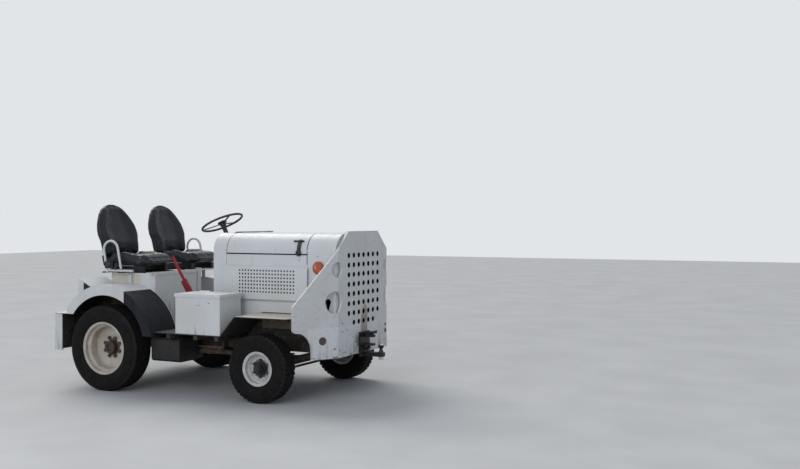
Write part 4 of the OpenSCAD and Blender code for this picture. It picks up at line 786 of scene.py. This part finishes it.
# Sections of the seat back: part of its height, half width and thickness
BACK_SECTIONS = (
    (-0.25, 0.184, 0.020), (-0.03, 0.207, 0.022), (0.00, 0.214, 0.112), (0.07, 0.220, 0.116),
    (0.18, 0.227, 0.112), (0.28, 0.234, 0.108), (0.39, 0.252, 0.104), (0.49, 0.250, 0.098),
    (0.60, 0.238, 0.089), (0.70, 0.215, 0.079), (0.81, 0.181, 0.069), (0.91, 0.137, 0.058),
    (0.965, 0.096, 0.050), (1.0, 0.036, 0.040),
)
BACK_PART, BACK_HALF, BACK_THICK = zip(*BACK_SECTIONS)
CUSHION_REAR, CUSHION_FRONT, CUSHION_LOW, CUSHION_TOP = -1.074, -0.547, 1.116, 1.200
CUSHION_HALF = 0.214
# Behind this place the cushion lies flat under the seat back
CUSHION_FLAT_X = -0.985
WELT_RADIUS, WELT_SIDES, WELT_SINK = 0.0034, 8, 0.001
# Grid of the remeshed skin, and frames of the cloth simulation
SKIN_GRID, CLOTH_FRAMES = 0.0075, 20


def grid_shell(rows, columns, front, back, low=0.0):
    """A closed shell between two surfaces (s, v), with s from -1 to 1 and v from low to 1."""
    verts, faces = [], []
    for surface in (front, back):
        for i in range(rows + 1):
            for j in range(columns + 1):
                verts.append(surface(2 * j / columns - 1, low + (1 - low) * (i / rows)))
    wide = columns + 1
    layer = (rows + 1) * wide

    def at(k, i, j):
        return k * layer + i * wide + j

    for i in range(rows):
        for j in range(columns):
            faces.append((at(0, i, j), at(0, i, j + 1), at(0, i + 1, j + 1), at(0, i + 1, j)))
            faces.append((at(1, i, j), at(1, i + 1, j), at(1, i + 1, j + 1), at(1, i, j + 1)))
    for j in range(columns):
        faces.append((at(0, 0, j), at(1, 0, j), at(1, 0, j + 1), at(0, 0, j + 1)))
        faces.append((at(0, rows, j), at(0, rows, j + 1), at(1, rows, j + 1), at(1, rows, j)))
    for i in range(rows):
        faces.append((at(0, i, 0), at(0, i + 1, 0), at(1, i + 1, 0), at(1, i, 0)))
        faces.append((at(0, i, columns), at(1, i, columns), at(1, i + 1, columns),
                      at(0, i + 1, columns)))
    mesh = new_mesh("shell", verts, faces)
    bm = bmesh.new()
    bm.from_mesh(mesh)
    bmesh.ops.recalc_face_normals(bm, faces=bm.faces)
    bm.to_mesh(mesh)
    bm.free()
    return mesh


def smooth_step(value):
    value = min(1.0, max(0.0, value))
    return value * value * (3 - 2 * value)


def back_section(v):
    """Front face, height, half width and thickness of the seat back at part v of its height."""
    z = BACK_LOW + (BACK_TOP - BACK_LOW) * max(v, 0) + (BACK_LOW - TAIL_LOW) * min(v, 0) / -BACK_PART[0]
    x = BACK_FRONT - BACK_RISE * BACK_LEAN * max(v, 0) ** 1.55
    return x, z, np.interp(v, BACK_PART, BACK_HALF), np.interp(v, BACK_PART, BACK_THICK)


def back_front(s, v):
    """Front skin of the seat back, dished between its side bolsters, s from -1 to 1."""
    x, z, half, thick = back_section(v)
    reach = abs(s)
    if v < -0.01:
        return TAIL_FRONT - 0.003 * reach ** 4, s * half, z
    dish = 0.034 * (1 - smooth_step((reach - 0.35) / 0.50)) * smooth_step((1.02 - v) / 0.30)
    lumbar = 0.015 * math.exp(-((v - 0.20) / 0.15) ** 2) * (1 - reach ** 2)
    edge = 0.26 * thick * smooth_step((reach - 0.80) / 0.20) ** 1.3
    crown = 0.22 * thick * smooth_step((v - 0.92) / 0.08)
    foot = 0.020 * smooth_step((0.05 - v) / 0.05)
    return x - dish + lumbar - edge - crown - foot - 0.004, s * half, z


def back_rear(s, v):
    x, z, half, thick = back_section(v)
    reach = abs(s)
    if v < -0.01:
        return TAIL_REAR + 0.006 * reach ** 4, s * half, z
    edge = 0.26 * thick * smooth_step((reach - 0.50) / 0.50) ** 1.2
    crown = 0.24 * thick * smooth_step((v - 0.88) / 0.12)
    return x - thick + edge + crown, s * half, z


def cushion_outline(s, v):
    """Place on the plan of the cushion: rounded front corners, sides drawn in at the rear."""
    corner = 0.055 * smooth_step((abs(s) - 0.62) / 0.38) ** 1.4
    front = CUSHION_FRONT - corner
    x = CUSHION_REAR + (front - CUSHION_REAR) * v
    half = CUSHION_HALF - 0.010 * smooth_step((0.16 - v) / 0.16) - 0.006 * smooth_step((v - 0.8) / 0.2)
    return x, s * half


def cushion_top(s, v):
    x, y = cushion_outline(s, v)
    reach = abs(s)
    crown = 0.005 * (1 - reach ** 2) * math.sin(math.pi * min(1.0, v * 1.08))
    behind = smooth_step((x - CUSHION_FLAT_X) / 0.012)
    bolster = smooth_step((reach - 0.62) / 0.24) * behind
    bolster *= 0.036 * (1 - smooth_step((v - 0.45) / 0.42)) + 0.006
    roll = 0.010 * smooth_step((v - 0.62) / 0.18)
    fall = 0.046 * smooth_step((v - 0.88) / 0.12) ** 1.2
    edge = 0.030 * smooth_step((reach - 0.90) / 0.10)
    flat = 0.012 * smooth_step((CUSHION_FLAT_X - x) / 0.02)
    return x, y, CUSHION_TOP + crown + bolster + roll - fall - edge - flat


def cushion_under(s, v):
    x, y = cushion_outline(s, v)
    rise = 0.026 * smooth_step((v - 0.86) / 0.14) + 0.016 * smooth_step((abs(s) - 0.88) / 0.12)
    return x, y, CUSHION_LOW + rise


def coordinates(mesh):
    values = np.empty(len(mesh.vertices) * 3)
    mesh.vertices.foreach_get("co", values)
    return values.reshape(-1, 3)


def swell(mesh, seams, cap, grow):
    """Swells a closed skin as cloth under air pressure and holds it where seams(point) is 1.

    The cloth is cut a little larger than the form, so it wrinkles between its seams. No
    point moves further than cap.
    """
    obj = link("skin", mesh)
    bpy.ops.object.select_all(action="DESELECT")
    bpy.context.view_layer.objects.active = obj
    obj.select_set(True)
    mesh.remesh_voxel_size = SKIN_GRID
    bpy.ops.object.voxel_remesh()
    mesh = obj.data
    start = coordinates(mesh)
    held = obj.vertex_groups.new(name="seam")
    for index, point in enumerate(start):
        weight = seams(point)
        if weight > 0.01:
            held.add([index], weight, "REPLACE")
    skin = obj.modifiers.new("skin", "CLOTH")
    assign(skin.settings, quality=5, mass=0.3, tension_stiffness=14,
           compression_stiffness=14, shear_stiffness=8, bending_stiffness=0.25,
           vertex_group_mass="seam", use_pressure=True, uniform_pressure_force=4,
           shrink_min=-grow)
    skin.settings.effector_weights.gravity = 0
    for number in range(1, CLOTH_FRAMES + 1):
        SCENE.frame_set(number)
    graph = bpy.context.evaluated_depsgraph_get()
    moved = coordinates(obj.evaluated_get(graph).data) - start
    obj.modifiers.remove(skin)
    obj.vertex_groups.clear()
    SCENE.frame_set(1)
    length = np.linalg.norm(moved, axis=1, keepdims=True)
    moved *= np.minimum(1.0, cap / np.maximum(length, 1e-9))
    mesh.vertices.foreach_set("co", (start + moved).ravel())
    mesh.update()
    smooth = obj.modifiers.new("smooth", "SUBSURF")
    smooth.levels = smooth.render_levels = 1
    bpy.ops.object.modifier_apply(modifier="smooth")
    mesh = obj.data
    bpy.data.objects.remove(obj)
    return mesh


def crease(mesh, amount):
    """Moves each point along its normal by amount(point), in metres."""
    mesh.update()
    points = coordinates(mesh)
    normals = np.array([tuple(vertex.normal) for vertex in mesh.vertices])
    shift = np.array([amount(Vector(point)) for point in points])
    mesh.vertices.foreach_set("co", (points + normals * shift[:, None]).ravel())
    mesh.update()


def back_creases(p):
    """Upright stretch creases in the middle of the back, and puckers at its foot."""
    v = (p.z - BACK_LOW) / (BACK_TOP - BACK_LOW)
    x, _, half, _ = back_section(v)
    if p.x < x - 0.055:
        return 0.0008 * noise.noise((p.x * 9, p.y * 12, p.z * 7))
    reach = abs(p.y) / max(half, 0.02)
    window = math.exp(-((v - 0.60) / 0.26) ** 2) * smooth_step((0.86 - reach) / 0.4)
    bend = 0.012 * noise.noise((p.y * 4, 1.3, p.z * 6))
    folds = noise.noise(((p.y + bend) * 46, 3.7, p.z * 4.2))
    ridged = (1 - abs(folds)) ** 3 - 0.35
    foot = math.exp(-((v - 0.10) / 0.12) ** 2)
    pucker = noise.noise((p.y * 26, 8.1, p.z * 30))
    return 0.0024 * window * ridged + 0.0013 * foot * pucker


def cushion_creases(p):
    """Creases that run in from the bolsters, and slack folds along the front roll."""
    if p.z < CUSHION_TOP - 0.040:
        return 0.0006 * noise.noise((p.x * 16, p.y * 20, p.z * 40))
    reach = abs(p.y) / CUSHION_HALF
    side = smooth_step((reach - 0.45) / 0.2) * smooth_step((0.97 - reach) / 0.12)
    front = smooth_step((p.x + 0.70) / 0.08)
    ribs = 1 - abs(noise.noise((p.x * 34 + p.y * 6, 2.2, p.y * 5)))
    rolls = 1 - abs(noise.noise((p.x * 9, 5.5, p.y * 30)))
    return 0.0009 * side * (ribs ** 3 - 0.35) + 0.0009 * front * (rolls ** 3 - 0.35)


def seat_piece(name, mesh, sign, finish):
    """A copy of a mesh made about y = 0, set on the seat at side sign and mirrored on the left."""
    copy = mesh.copy()
    copy.name = name
    points = coordinates(copy)
    if sign > 0:
        points[:, 1] *= -1
    points[:, 1] += sign * SEAT_Y
    copy.vertices.foreach_set("co", points.ravel())
    if sign > 0:
        copy.flip_normals()
    copy.update()
    shade_smooth(copy, 70)
    return new_piece(name, copy, "chassis", finish)


def on_skin(mesh, path):
    """Points of path brought onto the skin of a mesh and sunk a little into it."""
    tree = BVHTree.FromPolygons([v.co for v in mesh.vertices], [p.vertices for p in mesh.polygons])
    placed = []
    for point in path:
        place, normal, _, _ = tree.find_nearest(Vector(point))
        placed.append(place - normal * WELT_SINK)
    for _ in range(3):
        middle = [(a + 2 * b + c) / 4 for a, b, c in zip(placed, placed[1:], placed[2:])]
        placed = [placed[0], *middle, placed[-1]]
    return placed


def welt_mesh(mesh, path):
    """A round welt sewn along a path of points on the skin of a mesh."""
    path = on_skin(mesh, path)
    verts = []
    normal = None
    for i, point in enumerate(path):
        tangent = (path[min(i + 1, len(path) - 1)] - path[max(i - 1, 0)]).normalized()
        if normal is None:
            normal = tangent.orthogonal().normalized()
        normal = (normal - tangent * normal.dot(tangent)).normalized()
        verts += ring(point, normal, tangent.cross(normal), WELT_RADIUS, WELT_SIDES)
    return new_mesh("welt", verts, ring_faces(0, len(path), WELT_SIDES))


def welt_path(skin, reach, low, length, steps, top, across):
    """Points on skin(s, v) up one side at -reach, over at v = top and down the other side."""
    rise = [low + length * i / steps for i in range(steps + 1)]
    right = [skin(-reach, v) for v in rise]
    over = [skin(-reach + 2 * reach * i / across, top) for i in range(1, across)]
    return right + over + [skin(reach, v) for v in reversed(rise)]


def back_seam(point):
    """1 at the outline and the foot of the seat back, where its skin is sewn."""
    v = (point[2] - BACK_LOW) / (BACK_TOP - BACK_LOW)
    if v < 0.02:
        return 1.0
    x, _, half, _ = back_section(v)
    reach = abs(point[1]) / max(half, 0.02)
    rear = smooth_step((x - 0.062 - point[0]) / 0.02)
    return max(rear, smooth_step((reach - 0.90) / 0.06), smooth_step((v - 0.965) / 0.02))


def cushion_seam(point):
    """1 at the lower rim of the cushion and under it."""
    low = smooth_step((CUSHION_LOW + 0.030 - point[2]) / 0.012)
    hidden = smooth_step((CUSHION_FLAT_X - point[0]) / 0.012)
    return max(low, hidden)


def make_seats():
    shell = grid_shell(60, 48, back_front, back_rear, low=BACK_PART[0])
    back = swell(shell, back_seam, cap=0.010, grow=0.02)
    crease(back, back_creases)
    shell = grid_shell(48, 44, cushion_top, cushion_under)
    cushion = swell(shell, cushion_seam, cap=0.009, grow=0.010)
    crease(cushion, cushion_creases)
    back_welt = welt_mesh(back, welt_path(back_front, 0.90, 0.03, 0.94, 60, 0.975, 24))
    cushion_welt = welt_mesh(cushion, welt_path(cushion_top, 0.93, 0.02, 0.90, 40, 0.925, 30))
    for side, sign in SIDES:
        for name, mesh, node, fill in (
            ("backrest", back, "seat_back", 0.8), ("cushion", cushion, "seat_cushion", 0.7)
        ):
            piece = seat_piece(f"{name}_{side}", mesh, sign, "vinyl")
            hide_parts(f"{node}_{side}")
        for name, mesh in (("backrest_welt", back_welt), ("cushion_welt", cushion_welt)):
            seat_piece(f"{name}_{side}", mesh, sign, "welt")


# Small fittings

WING_BEND = math.radians(31.8)
# A bolt head's profile, as parts of its radius and of its height
BOLT = ((1.0, -0.001), (1.0, 0.35), (0.72, 0.8), (0.30, 1.0))


class Parts:
    """A piece put together from turned forms and bars."""

    def __init__(self):
        self.verts, self.faces = [], []

    def turned(self, profile, place, axis, sides):
        """A form turned about axis from profile points (radius, height), closed at both ends."""
        axis = Vector(axis).normalized()
        side = axis.orthogonal().normalized()
        first = len(self.verts)
        for radius, height in profile:
            centre = Vector(place) + axis * height
            self.verts += ring(centre, side, axis.cross(side), radius, sides)
        self.faces += ring_faces(first, len(profile), sides)

    def bar(self, place, along, across, size):
        """A bar with half sizes size along its own three directions."""
        along, across = Vector(along).normalized(), Vector(across).normalized()
        up = along.cross(across)
        first = len(self.verts)
        for i, j, k in itertools.product((-1, 1), repeat=3):
            corner = along * (i * size[0]) + across * (j * size[1]) + up * (k * size[2])
            self.verts.append(Vector(place) + corner)
        for face in ((0, 1, 3, 2), (4, 6, 7, 5), (0, 4, 5, 1), (2, 3, 7, 6), (0, 2, 6, 4),
                     (1, 5, 7, 3)):
            self.faces.append(tuple(first + v for v in face))

    def piece(self, name, body, finish, slot, angle=35):
        mesh = new_mesh(name, self.verts, self.faces)
        shade_smooth(mesh, angle)
        new_piece(name, mesh, body, finish)


def wing_face(y, z):
    """Place and normal on the front face of the push plate's right wing."""
    x = PLATE_X - (abs(y) - 0.45) * math.tan(WING_BEND)
    return (x, y, z), (math.cos(WING_BEND), -math.sin(WING_BEND), 0)


def make_bolts():
    right, left, ahead, behind = (0, -1, 0), (0, 1, 0), (1, 0, 0), (-1, 0, 0)
    places = [
        ((0.241, TOOLBOX_OUT, 0.810), right, 0.0050), ((0.347, TOOLBOX_OUT, 0.831), right, 0.0050),
        ((0.228, -0.848, 0.893), right, 0.0060), ((1.183, -HOOD_HALF, 1.231), right, 0.0045),
        ((1.183, HOOD_HALF, 1.231), left, 0.0045), ((PLATE_X, -0.384, 0.664), ahead, 0.0065),
        ((PLATE_X, -0.384, 0.594), ahead, 0.0065), ((PLATE_X, -0.194, 0.529), ahead, 0.0060),
        ((PLATE_X, 0.421, 0.585), ahead, 0.0120), ((PLATE_X, 0.421, 0.528), ahead, 0.0150),
    ]
    for k in range(12):
        for side, axis in ((-1, right), (1, left)):
            places.append(((1.0895, side * HOOD_HALF, 0.968 + 0.0142 * k), axis, 0.0034))
    for y in (-0.70, -0.42, 0.42, 0.70):
        for z in (0.42, 0.61):
            places.append(((BUMPER_REAR, y, z), behind, 0.0100))
    bolts = Parts()
    for place, axis, radius in places:
        bolts.turned([(r * radius, h * radius * 0.6) for r, h in BOLT], place, axis, 12)
    bolts.piece("small_bolts", "chassis", "bolt", "black_paint")
    eye = Parts()
    eye.turned([(0.034, -0.001), (0.034, 0.003), (0.031, 0.006), (0.024, 0.006), (0.019, 0.002),
                (0.010, 0.002), (0.009, 0.009), (0.005, 0.011)], *wing_face(-0.578, 0.53), 32)
    eye.piece("wing_bolt", "chassis", "bolt", "black_paint")


def make_hand_wheel_cap():
    tilt = math.radians(25)
    axis = (-math.sin(tilt), 0, math.cos(tilt))
    cap = Parts()
    cap.turned([(0.040, -0.008), (0.045, -0.005), (0.046, 0.002), (0.043, 0.009), (0.034, 0.014),
                (0.020, 0.017), (0.006, 0.018)], (-0.375, 0.34, 1.514), axis, 40)
    cap.piece("horn_cap", "hand_wheel", "hand_wheel", "wheel_plastic", 60)


def dial_mark(marks, middle, turn, reach, size):
    """A bar on a dial that points out from its middle, at an angle of turn degrees."""
    a = math.radians(turn)
    out, across = Vector((0, math.cos(a), math.sin(a))), Vector((0, -math.sin(a), math.cos(a)))
    marks.bar(Vector(middle) + out * reach, out, across, size)


def make_dials():
    """Dial faces on the dash, each with eleven strokes and a needle."""
    faces, marks = Parts(), Parts()
    x, z = 0.0805, 1.29
    for y, radius in ((0.185, 0.026), (0.260, 0.034), (0.335, 0.026)):
        faces.turned([(radius, 0), (radius, 0.0008), (0.001, 0.0008)], (x, y, z), (-1, 0, 0), 32)
        for k in range(11):
            dial_mark(marks, (x - 0.0014, y, z), -30 + 24 * k, radius * 0.84,
                      (radius * 0.09, 0.0007, 0.0004))
        dial_mark(marks, (x - 0.0024, y, z), 150, radius * 0.3, (radius * 0.4, 0.0009, 0.0004))
    faces.piece("dial_faces", "chassis", "hand_wheel", "black_paint")
    marks.piece("dial_marks", "chassis", "marks", "white_paint")


def make_belts():
    """Round covers and buckles of the seat belts beside the armrest hoops."""
    for side, sign in SIDES:
        reel = Parts()
        y = sign * ARMREST_OUT
        reel.turned([(0.026, -0.002), (0.026, 0.004), (0.022, 0.007), (0.006, 0.008)],
                    (-0.952, y, 1.127), (0, sign, 0), 28)
        reel.bar((-0.876, sign * 0.622, 1.112), (0.2, 0, 1), (1, 0, -0.2), (0.030, 0.014, 0.007))
        reel.piece(f"belt_{side}", "chassis", "hand_wheel", "black_paint")


make_camera()
make_world()
make_lights()
make_floor()
finish_nodes()
make_tyres()
make_seats()
make_bolts()
make_hand_wheel_cap()
make_dials()
make_belts()

SCENE.view_settings.view_transform = "Standard"
bpy.context.view_layer.update()
